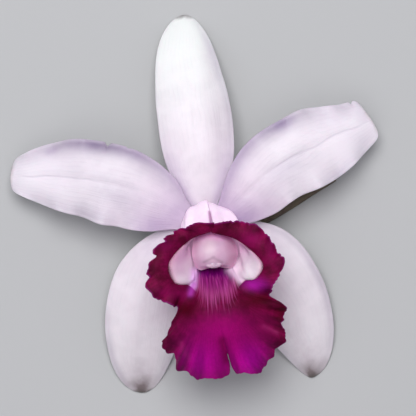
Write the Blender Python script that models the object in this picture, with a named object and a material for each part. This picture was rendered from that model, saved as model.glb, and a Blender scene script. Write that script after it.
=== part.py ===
# Cattleya orchid bloom, as picked, lying face up on a surface.
# Three sepals behind, two petals in front of them, then the frilled lip rolled round the column.
# X runs to the viewer's right, Y to the top sepal and Z up, towards the viewer.
# Points in the tables are millimetres from the heart, where all pieces meet on top of the ovary.
import math

import bmesh
import bpy
from mathutils import Vector

MM = 0.001

# Driving dimensions
HEART = Vector((0.0039, -0.0064, 0.0135))
GAP = 0.0003
RECEPTACLE_TOP = -1.45
RECEPTACLE_RADIUS = 3.2
BLADE_THICKNESS = 0.0009
MARGIN_SHARE = 0.7
LIP_THICKNESS = 0.0008
TUBE_BASE_RADIUS = 3.4
TUBE_BASE_HEIGHT = 2.2
TUBE_BULGE = 8.2
FLOOR_BULGE = 3.0
PEDICEL_RADIUS = 1.5
OVARY_RADIUS = 2.6
GROOVES = 6
GROOVE_DEPTH = 0.12
CAP_SIZE = (2.8, 1.6, 1.5)

# Blades of sepals and petals: the midrib from claw to tip, half-widths at even tenths of it, how far
# the margins arch back, their waves, the side (sign) and depth of a margin that rolls back further,
# and how far the blunt tip slants
TIP_POWER_SEPAL = 6
TIP_POWER_PETAL = 100
BLADES = {
    "sepal_dorsal": {
        "material": "sepal_white",
        "midrib": [(-0.2, 1.3, -0.7), (-1.9, 13.4, 1.1), (-3.1, 26.4, 1.6),
                   (-4.5, 38.4, -0.5), (-6.2, 50.8, -5.2), (-6.9, 63.8, -13.05)],
        "left": [1.6, 4.6, 7.8, 10.0, 10.9, 11.1, 11.2, 10.9, 10.7, 10.5, 9.8],
        "right": [1.6, 4.9, 8.6, 10.5, 11.1, 11.2, 10.9, 10.4, 10.2, 9.7, 8.2],
        "tip_power": TIP_POWER_SEPAL, "arch": 2.6, "wave": 0.15, "waves": 3.0, "roll": 0.0, "slant": 0.0,
    },
    "sepal_lateral_left": {
        "material": "sepal_white",
        "midrib": [(-1.1, -0.9, -0.7), (-9.8, -7.2, -1.4), (-16.4, -16.9, -2.6),
                   (-19.0, -28.1, -5.0), (-20.2, -39.5, -8.6), (-19.4, -51.0, -12.9)],
        "left": [1.6, 5.0, 8.4, 10.3, 11.2, 11.3, 11.2, 11.5, 11.4, 10.6, 9.2],
        "right": [1.6, 4.2, 7.4, 9.7, 11.2, 11.8, 12.0, 11.7, 11.0, 10.6, 10.6],
        "tip_power": TIP_POWER_SEPAL, "arch": 2.2, "wave": 0.25, "waves": 2.0, "roll": 0.0, "slant": 0.0,
    },
    "sepal_lateral_right": {
        "material": "sepal_white",
        "midrib": [(1.1, -0.9, -0.7), (9.9, -6.5, -1.4), (17.9, -14.2, -2.6),
                   (24.0, -23.6, -5.0), (28.8, -34.9, -8.6), (32.2, -46.4, -12.9)],
        "left": [1.6, 5.0, 9.4, 12.3, 13.4, 13.4, 13.2, 12.6, 11.9, 10.9, 10.0],
        "right": [1.6, 5.2, 8.6, 10.3, 11.5, 12.0, 11.7, 10.8, 9.0, 7.2, 5.0],
        "tip_power": TIP_POWER_SEPAL, "arch": 2.2, "wave": 0.25, "waves": 2.5, "roll": 0.0, "slant": 0.0,
    },
    "petal_left": {
        "material": "petal_white",
        "midrib": [(-1.3, 0.4, 0.5), (-12.3, 6.6, 2.8), (-23.9, 11.1, 4.4),
                   (-35.5, 13.5, 3.6), (-47.4, 14.7, 0.2), (-59.2, 14.2, -5.2)],
        "left": [1.6, 5.6, 9.3, 11.3, 11.9, 12.4, 11.2, 10.6, 9.2, 6.9, 3.8],
        "right": [1.6, 3.0, 7.3, 9.9, 11.4, 11.9, 11.9, 11.5, 9.7, 7.7, 5.3],
        "tip_power": TIP_POWER_PETAL, "arch": 1.5, "wave": 0.8, "waves": 4.5, "roll": 0.9, "slant": -0.5,
    },
    "petal_right": {
        "material": "petal_white",
        "midrib": [(1.3, 0.4, 0.5), (9.4, 7.1, 3.0), (18.0, 15.3, 4.8),
                   (28.1, 21.5, 4.2), (38.7, 27.0, 1.0), (49.5, 31.5, -4.2)],
        "left": [1.6, 3.2, 6.4, 8.9, 10.8, 11.6, 11.6, 11.5, 9.6, 7.9, 7.6],
        "right": [1.6, 4.7, 7.9, 10.4, 10.9, 11.0, 11.8, 11.7, 10.5, 8.0, 5.2],
        "tip_power": TIP_POWER_PETAL, "arch": 1.5, "wave": 0.8, "waves": 5.0, "roll": -0.9, "slant": 1.3,
    },
}
BLADE_ROWS = 20
BLADE_COLUMNS = 8
TIP_THINS_FROM = 0.7
CLAW_FLESHY_TO = 0.2
WAVE_FROM = 0.15
WAVE_SHIFT = 0.25
ARCH_FULL_AT = 0.45
SLANT_FROM = 0.6

# The lip's free edge on each side: from the cleft at its foot round the midlobe to the deep bay,
# then round the side lobe to the seam on top of the tube
EDGE_RIGHT = [(6.5, -38.3, 15.6), (9.2, -43.1, 13.0), (13.3, -44.0, 11.6), (17.5, -40.7, 12.0),
              (20.4, -36.0, 13.0), (23.3, -33.0, 13.6), (22.6, -27.8, 15.2), (22.9, -24.2, 16.4),
              (20.6, -22.0, 17.2), (18.3, -20.6, 18.2),
              (18.3, -19.2, 20.2), (19.0, -17.6, 22.4), (20.6, -15.2, 23.5), (22.2, -11.2, 23.0),
              (19.8, -6.0, 22.5), (16.1, -1.3, 22.0), (10.5, 1.0, 21.5), (6.1, 1.2, 21.5),
              (1.2, 0.3, 21.5)]
EDGE_LEFT = [(6.5, -38.3, 15.6), (5.2, -43.1, 13.0), (2.6, -45.4, 11.6), (-2.1, -45.1, 11.4),
             (-7.1, -43.2, 11.8), (-10.1, -38.3, 12.8), (-13.0, -35.0, 13.4), (-11.6, -31.6, 14.8),
             (-10.0, -28.2, 16.4), (-8.6, -24.8, 18.2),
             (-8.8, -23.4, 20.0), (-10.8, -22.8, 22.2), (-14.3, -21.4, 23.5), (-17.5, -17.6, 24.0),
             (-17.2, -12.4, 23.5), (-15.1, -7.1, 23.0), (-11.7, -3.1, 22.5), (-6.7, -0.7, 22.0),
             (1.2, 0.3, 21.5)]

# The throat's mouth on each side: from the middle of its floor through the gully to the seam
MOUTH_RIGHT = [(2.9, -22.6, 21.0), (5.4, -22.2, 21.1), (7.2, -21.3, 20.8), (8.5, -19.8, 20.0),
               (9.4, -17.8, 18.4),
               (11.6, -15.9, 18.8), (14.9, -15.0, 21.3), (16.2, -10.6, 21.5), (9.0, -4.1, 20.0),
               (1.2, -1.7, 19.2)]
MOUTH_LEFT = [(2.9, -22.6, 21.0), (0.5, -22.4, 21.1), (-1.1, -21.8, 20.8), (-2.2, -20.8, 20.2),
              (-3.3, -19.2, 19.0),
              (-5.8, -17.3, 19.0), (-9.6, -16.6, 21.3), (-11.2, -10.8, 21.5), (-5.2, -4.1, 20.0),
              (1.2, -1.7, 19.2)]

# Where each wall of the throat passes the column's flank, from the gully to the roof, at this share
# of the way up from its base to its mouth
WAIST_RIGHT = [(9.6, -13.6, 16.6), (10.7, -12.6, 17.6), (10.5, -9.4, 17.8), (10.8, -4.4, 17.0),
               (1.0, 0.0, 16.0)]
WAIST_LEFT = [(-3.4, -14.2, 16.4), (-4.4, -12.6, 17.5), (-4.6, -9.4, 17.8), (-5.1, -4.4, 17.0),
              (1.0, 0.0, 16.0)]
WAIST_AT = 0.7

# Round each side, from the floor's middle at 0 to the seam at 1: where the walls close in on the
# column and where they leave it again, and how much fuller they swell below it
HUG_GROWS = (0.44, 0.6)
HUG_FADES = (0.82, 0.94)
HUG_BULGE_RIGHT = 3.2
HUG_BULGE_LEFT = 5.0

# The tube and the flare: the first turn of the wall, the directions in which the wall and the floor
# leave the mouth, the fineness of the grid, and the handles of the curves from base to free edge
GULLY_ANGLE = -35.0
WALL_GROWS = (0.15, 0.6)
TUBE_LEAN = Vector((0.04, -0.56, 0.83))
FLOOR_LEAN = Vector((0.04, -0.80, 0.60))
LIP_COLUMNS = 56
TUBE_ROWS = 5
FLARE_ROWS = 7
TUBE_BASE = Vector((0.2, 0.0, TUBE_BASE_HEIGHT))
BELLY_RISE = Vector((0.3, 0.0, 4.2))
THROAT_RUN = 7.5
MOUTH_OPENING = 0.8
OPENING_FADES = (0.85, 1.0)
SEAM_BEND = Vector((-2.2, 0.0, 0.0))
SEAM_BENDS_FROM = 0.82
SEAM_PARTS_FROM = 0.95
FLARE_START = 0.28
FLARE_SPREAD = 0.7
FLARE_LIFT = 0.12
FLARE_THINS_FROM = 1.3
SEAM_HALF_GAP = 0.3

# The margin's ruffles: their height and length, how far each may wander, how unlike they are, and
# where they grow calm beside the bay, the cleft and the seam
RUFFLE = 0.9
RUFFLE_LENGTH = 8.0
RUFFLE_FROM = 1.4
RUFFLE_WANDER = 1.1
WANDER_PER_MM = 0.19
WANDER_START = 0.6
RUFFLE_UNLIKE = 0.3
UNLIKE_PER_MM = 0.23
BAY_CALM = (0.02, 0.1)
CLEFT_CALM_TO = 0.06
SEAM_CALM_FROM = 0.94

# The column's back, from its foot to its hooded tip, with width and thickness
COLUMN_PATH = [(0.2, 0.0, 1.5), (0.5, -0.3, 6.0), (1.0, -2.0, 11.0), (1.9, -4.7, 14.8),
               (2.4, -8.4, 16.5), (2.4, -12.0, 15.4)]
COLUMN_WIDTH = [5.0, 5.8, 8.8, 12.2, 13.8, 11.6]
COLUMN_THICKNESS = [5.0, 5.2, 5.8, 6.4, 6.6, 4.0]
COLUMN_ROWS = 18
COLUMN_SIDES = 20
COLUMN_FLAT_UNDER = 0.72
COLUMN_KEEN = 0.8
COLUMN_CLOSES = (0.93, 1.05)

# The hood's rim: an arm reaches forward at each side, and the back between them is shorter
HOOD_FROM = 0.85
HOOD_ARMS = 1.0
ARM_TURN = 0.35
ARM_SPREAD = 0.3
HOOD_SHORTER = 0.5
BACK_SPREAD = 0.55

CAP_CENTRE = (1.8, -11.0, 17.4)
CAP_CREASE = 0.14
CAP_CREASE_WIDTH = 0.22
CAP_SEGMENTS = 16
CAP_RINGS = 10

# The ovary and its pedicel bend down behind the heart and lie along the surface
STALK_PATH = [(0.0, 0.0, -1.45), (0.6, 0.0, -5.2), (3.6, 0.2, -9.0), (9.2, 0.5, -10.7),
              (16.7, 1.8, -11.2), (24.3, 5.6, -11.6), (31.5, 10.2, -11.9), (38.6, 14.6, -11.9)]
STALK_ROWS = 26
STALK_SIDES = 24
OVARY_THINS = (0.3, 0.75)
RECEPTACLE_TO = 0.08
GROOVES_FROM = 0.1
GROOVES_FADE = (0.5, 0.85)


def along(values, u):
    """Smooth curve through evenly spaced numbers or points, at u from 0 to 1."""
    last = len(values) - 1
    place = min(max(u, 0.0), 1.0) * last
    i = min(int(place), last - 1)
    t = place - i
    b, c = values[i], values[i + 1]
    a = values[i - 1] if i > 0 else b * 2 - c
    d = values[i + 2] if i + 2 <= last else c * 2 - b
    return (b * 2 + (c - a) * t + (a * 2 - b * 5 + c * 4 - d) * t ** 2
            + (b * 3 - a - c * 3 + d) * t ** 3) * 0.5


def points(table):
    return [Vector(p) for p in table]


def smoothstep(low, high, x):
    t = min(max((x - low) / (high - low), 0.0), 1.0)
    return t * t * (3 - 2 * t)


def hill(x, centre, width):
    """Soft hill of height 1 round a centre."""
    return math.exp(-((x - centre) / width) ** 2)


def bezier(a, b, c, d, t):
    s = 1 - t
    return a * s ** 3 + b * (3 * s * s * t) + c * (3 * s * t * t) + d * t ** 3


def material(name, colour, roughness, weight=0.0):
    """Principled material with a little light passing through soft tissue."""
    finish = bpy.data.materials.new(name)
    finish.use_nodes = True
    shader = finish.node_tree.nodes["Principled BSDF"]
    shader.inputs["Base Color"].default_value = (*colour, 1.0)
    shader.inputs["Roughness"].default_value = roughness
    shader.inputs["Metallic"].default_value = 0.0
    shader.inputs["Subsurface Weight"].default_value = weight
    return finish


def finish_object(name, mesh, colour_of):
    """Smooth-shaded object of one mesh and one material."""
    mesh.shade_smooth()
    mesh.materials.append(colour_of)
    thing = bpy.data.objects.new(name, mesh)
    bpy.context.scene.collection.objects.link(thing)
    return thing


def to_frame(point):
    """Place in the part's frame, in metres, of a point in millimetres from the heart."""
    return HEART + point * MM


def blade(name, grid, weights, thickness, colour_of):
    """Closed blade round a grid of points, split alike on both faces, thinner to its margin."""
    shape = bmesh.new()
    rows = []
    for row in grid:
        if (row[0] - row[-1]).length < 1e-6 and (row[0] - row[len(row) // 2]).length < 1e-6:
            tip = shape.verts.new(to_frame(row[0]))
            rows.append([tip] * len(row))
        else:
            rows.append([shape.verts.new(to_frame(p)) for p in row])
    for near, far in zip(rows, rows[1:]):
        for j in range(len(near) - 1):
            for corners in ((near[j], near[j + 1], far[j + 1]), (near[j], far[j + 1], far[j])):
                if len(set(corners)) == 3:
                    shape.faces.new(corners)
    mesh = bpy.data.meshes.new(name)
    shape.verts.index_update()
    place = {v.index: weights[i][j] for i, row in enumerate(rows) for j, v in enumerate(row)}
    shape.to_mesh(mesh)
    shape.free()
    thing = finish_object(name, mesh, colour_of)
    full = thing.vertex_groups.new(name="fleshy")
    for index, weight in place.items():
        full.add([index], weight, "REPLACE")
    solid = thing.modifiers.new("Thickness", "SOLIDIFY")
    solid.thickness = thickness
    solid.offset = 0.0
    solid.use_quality_normals = True
    solid.vertex_group = full.name
    solid.thickness_vertex_group = MARGIN_SHARE
    return thing


def tepal(name, spec, colours):
    """Sepal or petal: a midrib, a half-width each side, an arched section and a waved margin."""
    midrib = points(spec["midrib"])
    up = Vector((0, 0, 1))
    grid, weights = [], []
    for i in range(BLADE_ROWS + 1):
        u = math.sin(i / BLADE_ROWS * math.pi / 2)
        centre = along(midrib, u)
        ahead = along(midrib, min(u + 0.01, 1.0)) - along(midrib, max(u - 0.01, 0.0))
        across = Vector((ahead.y, -ahead.x, 0)).normalized()
        skew = ahead.normalized() * (spec["slant"] * smoothstep(SLANT_FROM, 1.0, u))
        round_tip = math.sqrt(max(1 - u ** spec["tip_power"], 0.0))
        row, row_weights = [], []
        for j in range(BLADE_COLUMNS + 1):
            v = 2 * j / BLADE_COLUMNS - 1
            half = along(spec["right"] if v > 0 else spec["left"], u) * round_tip
            rolled = abs(spec["roll"]) * v ** 4 if v * spec["roll"] > 0 else 0.0
            drop = (spec["arch"] * v * v + rolled) * smoothstep(0.0, ARCH_FULL_AT, u) * round_tip
            shift = WAVE_SHIFT if v > 0 else 0.0
            swing = math.sin(2 * math.pi * (spec["waves"] * u + shift))
            lift = spec["wave"] * smoothstep(WAVE_FROM, ARCH_FULL_AT, u) * abs(v) ** 3 * swing * round_tip
            row.append(centre + across * (half * v) + skew * (v * round_tip) + up * (lift - drop))
            middle = (1 - v * v) * (1 - smoothstep(TIP_THINS_FROM, 1.0, u))
            claw = v * v * (1 - smoothstep(0.0, CLAW_FLESHY_TO, u))
            row_weights.append(middle + claw)
        grid.append(row)
        weights.append(row_weights)
    return blade(name, grid, weights, BLADE_THICKNESS, colours[spec["material"]])


def even_steps(edge, count):
    """Values from 0 to 1 that part the free edge into stretches of the same length."""
    fine = 400
    marks = [along(edge, k / fine) for k in range(fine + 1)]
    run = [0.0]
    for a, b in zip(marks, marks[1:]):
        run.append(run[-1] + (b - a).length)
    steps, k = [], 0
    for i in range(count + 1):
        goal = run[-1] * i / count
        while k < fine - 1 and run[k + 1] < goal:
            k += 1
        steps.append((k + (goal - run[k]) / (run[k + 1] - run[k])) / fine)
    return steps, run[-1]


def neck_through(base, belly, waist, mouth):
    """Third handle of a curve from base to mouth that makes it pass the waist."""
    t = WAIST_AT
    s = 1 - t
    return (waist - base * s ** 3 - belly * (3 * s * s * t) - mouth * t ** 3) / (3 * s * t * t)


def lip_ray(side, q, s):
    """Point of the lip at q round one side and s from the base (0) by the mouth (1) to the edge (2)."""
    if q < 0.5:
        angle = -90 + (GULLY_ANGLE + 90) * q * 2
    else:
        angle = GULLY_ANGLE + (90 - GULLY_ANGLE) * (q * 2 - 1)
    out = Vector((math.cos(math.radians(angle)) * side["hand"], math.sin(math.radians(angle)), 0))
    seam = Vector((side["hand"] * SEAM_HALF_GAP * smoothstep(SEAM_PARTS_FROM, 1.0, q), 0, 0))
    wall = smoothstep(*WALL_GROWS, q)
    opening = MOUTH_OPENING * wall * (1 - smoothstep(*OPENING_FADES, q))
    lean = (FLOOR_LEAN.lerp(TUBE_LEAN, wall).normalized() + out * opening).normalized()
    mouth = along(side["mouth"], q) + seam
    if s <= 1:
        base = TUBE_BASE + out * TUBE_BASE_RADIUS + seam
        bend = SEAM_BEND * smoothstep(SEAM_BENDS_FROM, 1.0, q)
        hug = smoothstep(*HUG_GROWS, q) * (1 - smoothstep(*HUG_FADES, q))
        bulge = FLOOR_BULGE + (TUBE_BULGE - FLOOR_BULGE) * wall + side["fuller"] * hug
        belly = base + out * bulge + BELLY_RISE + bend
        neck = mouth - lean * THROAT_RUN + bend * 0.5
        neck = neck.lerp(neck_through(base, belly, along(side["waist"], q * 2 - 1), mouth), hug)
        return bezier(base, belly, neck, mouth, s)
    edge = along(side["edge"], q) + seam
    reach = (edge - mouth).length
    leaving = mouth + lean * (reach * FLARE_START)
    arriving = mouth.lerp(edge, FLARE_SPREAD) + lean * (reach * FLARE_LIFT)
    return bezier(mouth, leaving, arriving, edge, s - 1)


def calm_ends(q):
    """1 along the lip's edge, falling to 0 at the cleft, the bay and the seam."""
    at_bay = smoothstep(*BAY_CALM, abs(q - 0.5))
    return smoothstep(0.0, CLEFT_CALM_TO, q) * (1 - smoothstep(SEAM_CALM_FROM, 1.0, q)) * at_bay


def ruffle(run, hand):
    """Height of the margin's ruffles at a distance along it, uneven in length and strength."""
    signed = run * hand
    wander = RUFFLE_WANDER * math.sin(signed * WANDER_PER_MM + WANDER_START)
    strength = 1 - RUFFLE_UNLIKE + RUFFLE_UNLIKE * math.sin(signed * UNLIKE_PER_MM)
    return RUFFLE * strength * math.sin(2 * math.pi * run / RUFFLE_LENGTH + wander)


def lip(colours):
    """One petal rolled into a tube, its side lobes flared into a collar above the midlobe."""
    left = {"hand": -1, "edge": points(EDGE_LEFT), "mouth": points(MOUTH_LEFT),
            "waist": points(WAIST_LEFT), "fuller": HUG_BULGE_LEFT}
    right = {"hand": 1, "edge": points(EDGE_RIGHT), "mouth": points(MOUTH_RIGHT),
             "waist": points(WAIST_RIGHT), "fuller": HUG_BULGE_RIGHT}
    heights = [i / TUBE_ROWS for i in range(TUBE_ROWS)]
    heights += [1 + i / FLARE_ROWS for i in range(FLARE_ROWS + 1)]
    stations = []
    for side in (left, right):
        steps, length = even_steps(side["edge"], LIP_COLUMNS)
        listed = [(side, q, length * i / LIP_COLUMNS) for i, q in enumerate(steps)]
        stations += reversed(listed) if side is left else listed[1:]
    plain = [[lip_ray(side, q, s) for side, q, _ in stations] for s in heights]
    grid, weights = [], []
    for i, s in enumerate(heights):
        row = []
        for j, (side, q, run) in enumerate(stations):
            ahead = plain[min(i + 1, len(heights) - 1)][j] - plain[max(i - 1, 0)][j]
            across = plain[i][min(j + 1, len(stations) - 1)] - plain[i][max(j - 1, 0)]
            normal = across.cross(ahead).normalized()
            swell = ruffle(run, side["hand"]) * smoothstep(RUFFLE_FROM, 2.0, s)
            row.append(plain[i][j] + normal * (swell * calm_ends(q)))
        grid.append(row)
        weights.append([1 - smoothstep(FLARE_THINS_FROM, 2.0, s)] * len(row))
    return blade("lip", grid, weights, LIP_THICKNESS, colours["lip_magenta"])


def frames_along(path, count):
    """Places, directions and side vectors at even steps, turned as little as the path allows."""
    places = [along(path, i / count) for i in range(count + 1)]
    heads = []
    for i in range(count + 1):
        heads.append((places[min(i + 1, count)] - places[max(i - 1, 0)]).normalized())
    side = Vector((1, 0, 0))
    if abs(heads[0].x) > 0.9:
        side = Vector((0, 1, 0))
    frames = []
    for place, head in zip(places, heads):
        side = (side - head * side.dot(head)).normalized()
        frames.append((place, head, side, head.cross(side).normalized()))
    return frames


def loft(name, rings, colour_of):
    """Closed body through rings of points, its two ends filled."""
    shape = bmesh.new()
    loops = [[shape.verts.new(to_frame(p)) for p in ring] for ring in rings]
    for near, far in zip(loops, loops[1:]):
        for j in range(len(near)):
            k = (j + 1) % len(near)
            shape.faces.new((near[j], near[k], far[k], far[j]))
    shape.faces.new(list(reversed(loops[0])))
    shape.faces.new(loops[-1])
    bmesh.ops.recalc_face_normals(shape, faces=shape.faces)
    bmesh.ops.triangulate(shape, faces=shape.faces)
    mesh = bpy.data.meshes.new(name)
    shape.to_mesh(mesh)
    shape.free()
    return finish_object(name, mesh, colour_of)


def column(colours):
    """Waxy column: rounded on its back, flatter below, widening to a hood over the anther."""
    frames = frames_along(points(COLUMN_PATH), COLUMN_ROWS)
    rings = []
    for i, (place, head, side, up) in enumerate(frames):
        u = i / COLUMN_ROWS
        close = math.sqrt(max(1 - smoothstep(*COLUMN_CLOSES, u) ** 2, 0.0))
        wide = along(COLUMN_WIDTH, u) / 2 * close
        thick = along(COLUMN_THICKNESS, u) / 2 * close
        ring = []
        for j in range(COLUMN_SIDES):
            a = 2 * math.pi * j / COLUMN_SIDES
            flat = COLUMN_FLAT_UNDER if math.sin(a) < 0 else 1.0
            dome = math.sin(a) * abs(math.sin(a)) ** COLUMN_KEEN
            arms = HOOD_ARMS * (hill(a, ARM_TURN, ARM_SPREAD) + hill(a, math.pi - ARM_TURN, ARM_SPREAD))
            back = HOOD_SHORTER * hill(a, math.pi / 2, BACK_SPREAD)
            push = smoothstep(HOOD_FROM, 1.0, u) * (arms - back)
            ring.append(place + side * (wide * math.cos(a)) + up * (thick * flat * dome) + head * push)
        rings.append(ring)
    rings[0] = [Vector((p.x, p.y, COLUMN_PATH[0][2])) for p in rings[0]]
    body = loft("column", rings, colours["column_wax"])
    seat = cap_shape("column_recess", CAP_SIZE, GAP, colours["column_wax"])
    seat.hide_render = True
    seat.display_type = "WIRE"
    cut = body.modifiers.new("Recess", "BOOLEAN")
    cut.operation = "DIFFERENCE"
    cut.solver = "EXACT"
    cut.object = seat
    return body


def cap_shape(name, size, grow, colour_of):
    """Small rounded cap with a shallow crease along its middle."""
    shape = bmesh.new()
    bmesh.ops.create_uvsphere(shape, u_segments=CAP_SEGMENTS, v_segments=CAP_RINGS, radius=1.0)
    for v in shape.verts:
        crease = 1 - CAP_CREASE * hill(v.co.x, 0.0, CAP_CREASE_WIDTH) * max(v.co.z, 0.0)
        v.co = Vector((v.co.x * size[0], v.co.y * size[1], v.co.z * size[2] * crease))
        v.co = v.co * (1 + grow / MM / size[2])
        v.co = to_frame(v.co + Vector(CAP_CENTRE))
    mesh = bpy.data.meshes.new(name)
    shape.to_mesh(mesh)
    shape.free()
    return finish_object(name, mesh, colour_of)


def ovary_stalk(colours):
    """Grooved ovary under the heart, thinning to a plain pedicel with a cut end."""
    path = points(STALK_PATH)
    frames = frames_along(path, STALK_ROWS)
    rings = []
    for i, (place, _, side, up) in enumerate(frames):
        u = i / STALK_ROWS
        radius = OVARY_RADIUS + (PEDICEL_RADIUS - OVARY_RADIUS) * smoothstep(*OVARY_THINS, u)
        radius += (RECEPTACLE_RADIUS - OVARY_RADIUS) * (1 - smoothstep(0.0, RECEPTACLE_TO, u))
        depth = GROOVE_DEPTH * smoothstep(0.0, GROOVES_FROM, u) * (1 - smoothstep(*GROOVES_FADE, u))
        ring = []
        for j in range(STALK_SIDES):
            a = 2 * math.pi * j / STALK_SIDES
            r = radius * (1 - depth * (0.5 + 0.5 * math.cos(GROOVES * a)))
            ring.append(place + side * (r * math.cos(a)) + up * (r * math.sin(a)))
        rings.append(ring)
    rings[0] = [Vector((p.x, p.y, RECEPTACLE_TOP)) for p in rings[0]]
    return loft("ovary_stalk", rings, colours["stalk_green"])


def main():
    for thing in list(bpy.data.objects):
        bpy.data.objects.remove(thing, do_unlink=True)
    colours = {
        "sepal_white": material("sepal_white", (0.80, 0.76, 0.80), 0.45, 0.1),
        "petal_white": material("petal_white", (0.78, 0.72, 0.81), 0.45, 0.1),
        "lip_magenta": material("lip_magenta", (0.22, 0.004, 0.14), 0.5, 0.1),
        "column_wax": material("column_wax", (0.78, 0.60, 0.70), 0.35, 0.1),
        "anther_cream": material("anther_cream", (0.85, 0.80, 0.76), 0.4),
        "stalk_green": material("stalk_green", (0.14, 0.13, 0.06), 0.5),
    }
    for name, spec in BLADES.items():
        tepal(name, spec, colours)
    lip(colours)
    column(colours)
    cap_shape("anther_cap", CAP_SIZE, 0.0, colours["anther_cream"])
    ovary_stalk(colours)


main()
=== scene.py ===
# Looks of a cattleya orchid bloom that lies face up on a pale table, seen straight from above.
# Tables hold millimetres from the heart, where all pieces meet on top of the ovary, as in the model.
from math import pi, tau

import bpy
import numpy as np
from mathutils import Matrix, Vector


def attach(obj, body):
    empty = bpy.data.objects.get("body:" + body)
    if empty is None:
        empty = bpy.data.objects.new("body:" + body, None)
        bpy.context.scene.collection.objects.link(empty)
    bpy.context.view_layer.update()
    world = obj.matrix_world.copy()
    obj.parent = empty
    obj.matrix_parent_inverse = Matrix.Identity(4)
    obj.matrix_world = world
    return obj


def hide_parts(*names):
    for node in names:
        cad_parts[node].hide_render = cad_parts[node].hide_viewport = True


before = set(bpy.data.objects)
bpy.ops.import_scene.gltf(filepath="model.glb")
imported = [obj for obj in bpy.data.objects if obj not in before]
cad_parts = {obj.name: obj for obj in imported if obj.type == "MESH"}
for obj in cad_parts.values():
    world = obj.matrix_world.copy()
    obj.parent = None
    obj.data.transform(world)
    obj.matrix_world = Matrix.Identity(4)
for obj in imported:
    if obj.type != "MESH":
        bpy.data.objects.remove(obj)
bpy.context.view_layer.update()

MM = 0.001
HEART = np.array([0.0039, -0.0064, 0.0135])

# The view of the photograph: straight down the bloom's face
VIEW_DISTANCE = 800.0
VIEW_HALF_WIDTH = 62.4
VIEW_CENTRE = (0.3, 5.1)

UP = np.array([0.0, 0.0, 1.0])

# Sepals and petals: fineness, fleshy middle and thin margin, the channel and keel along the midrib
BLADE_ROWS = 150
BLADE_COLUMNS = 64
BLADE_TIP_STOP = 0.994
BLADE_MIDDLE = 0.85
BLADE_MARGIN = 0.38
ARCH_FULL_AT = 0.45
SLANT_FROM = 0.6
CHANNEL_WIDTH = 1.3
KEEL_DEPTH = 0.5
KEEL_WIDTH = 1.5
TINT_FULL = 1.4
# Painted brown shade towards the tips: its share right across the blade, and its width round its place across
TIP_PAINTED_SHADE_EVERYWHERE = 0.35
TIP_PAINTED_SHADE_WIDTH = 0.55
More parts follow.
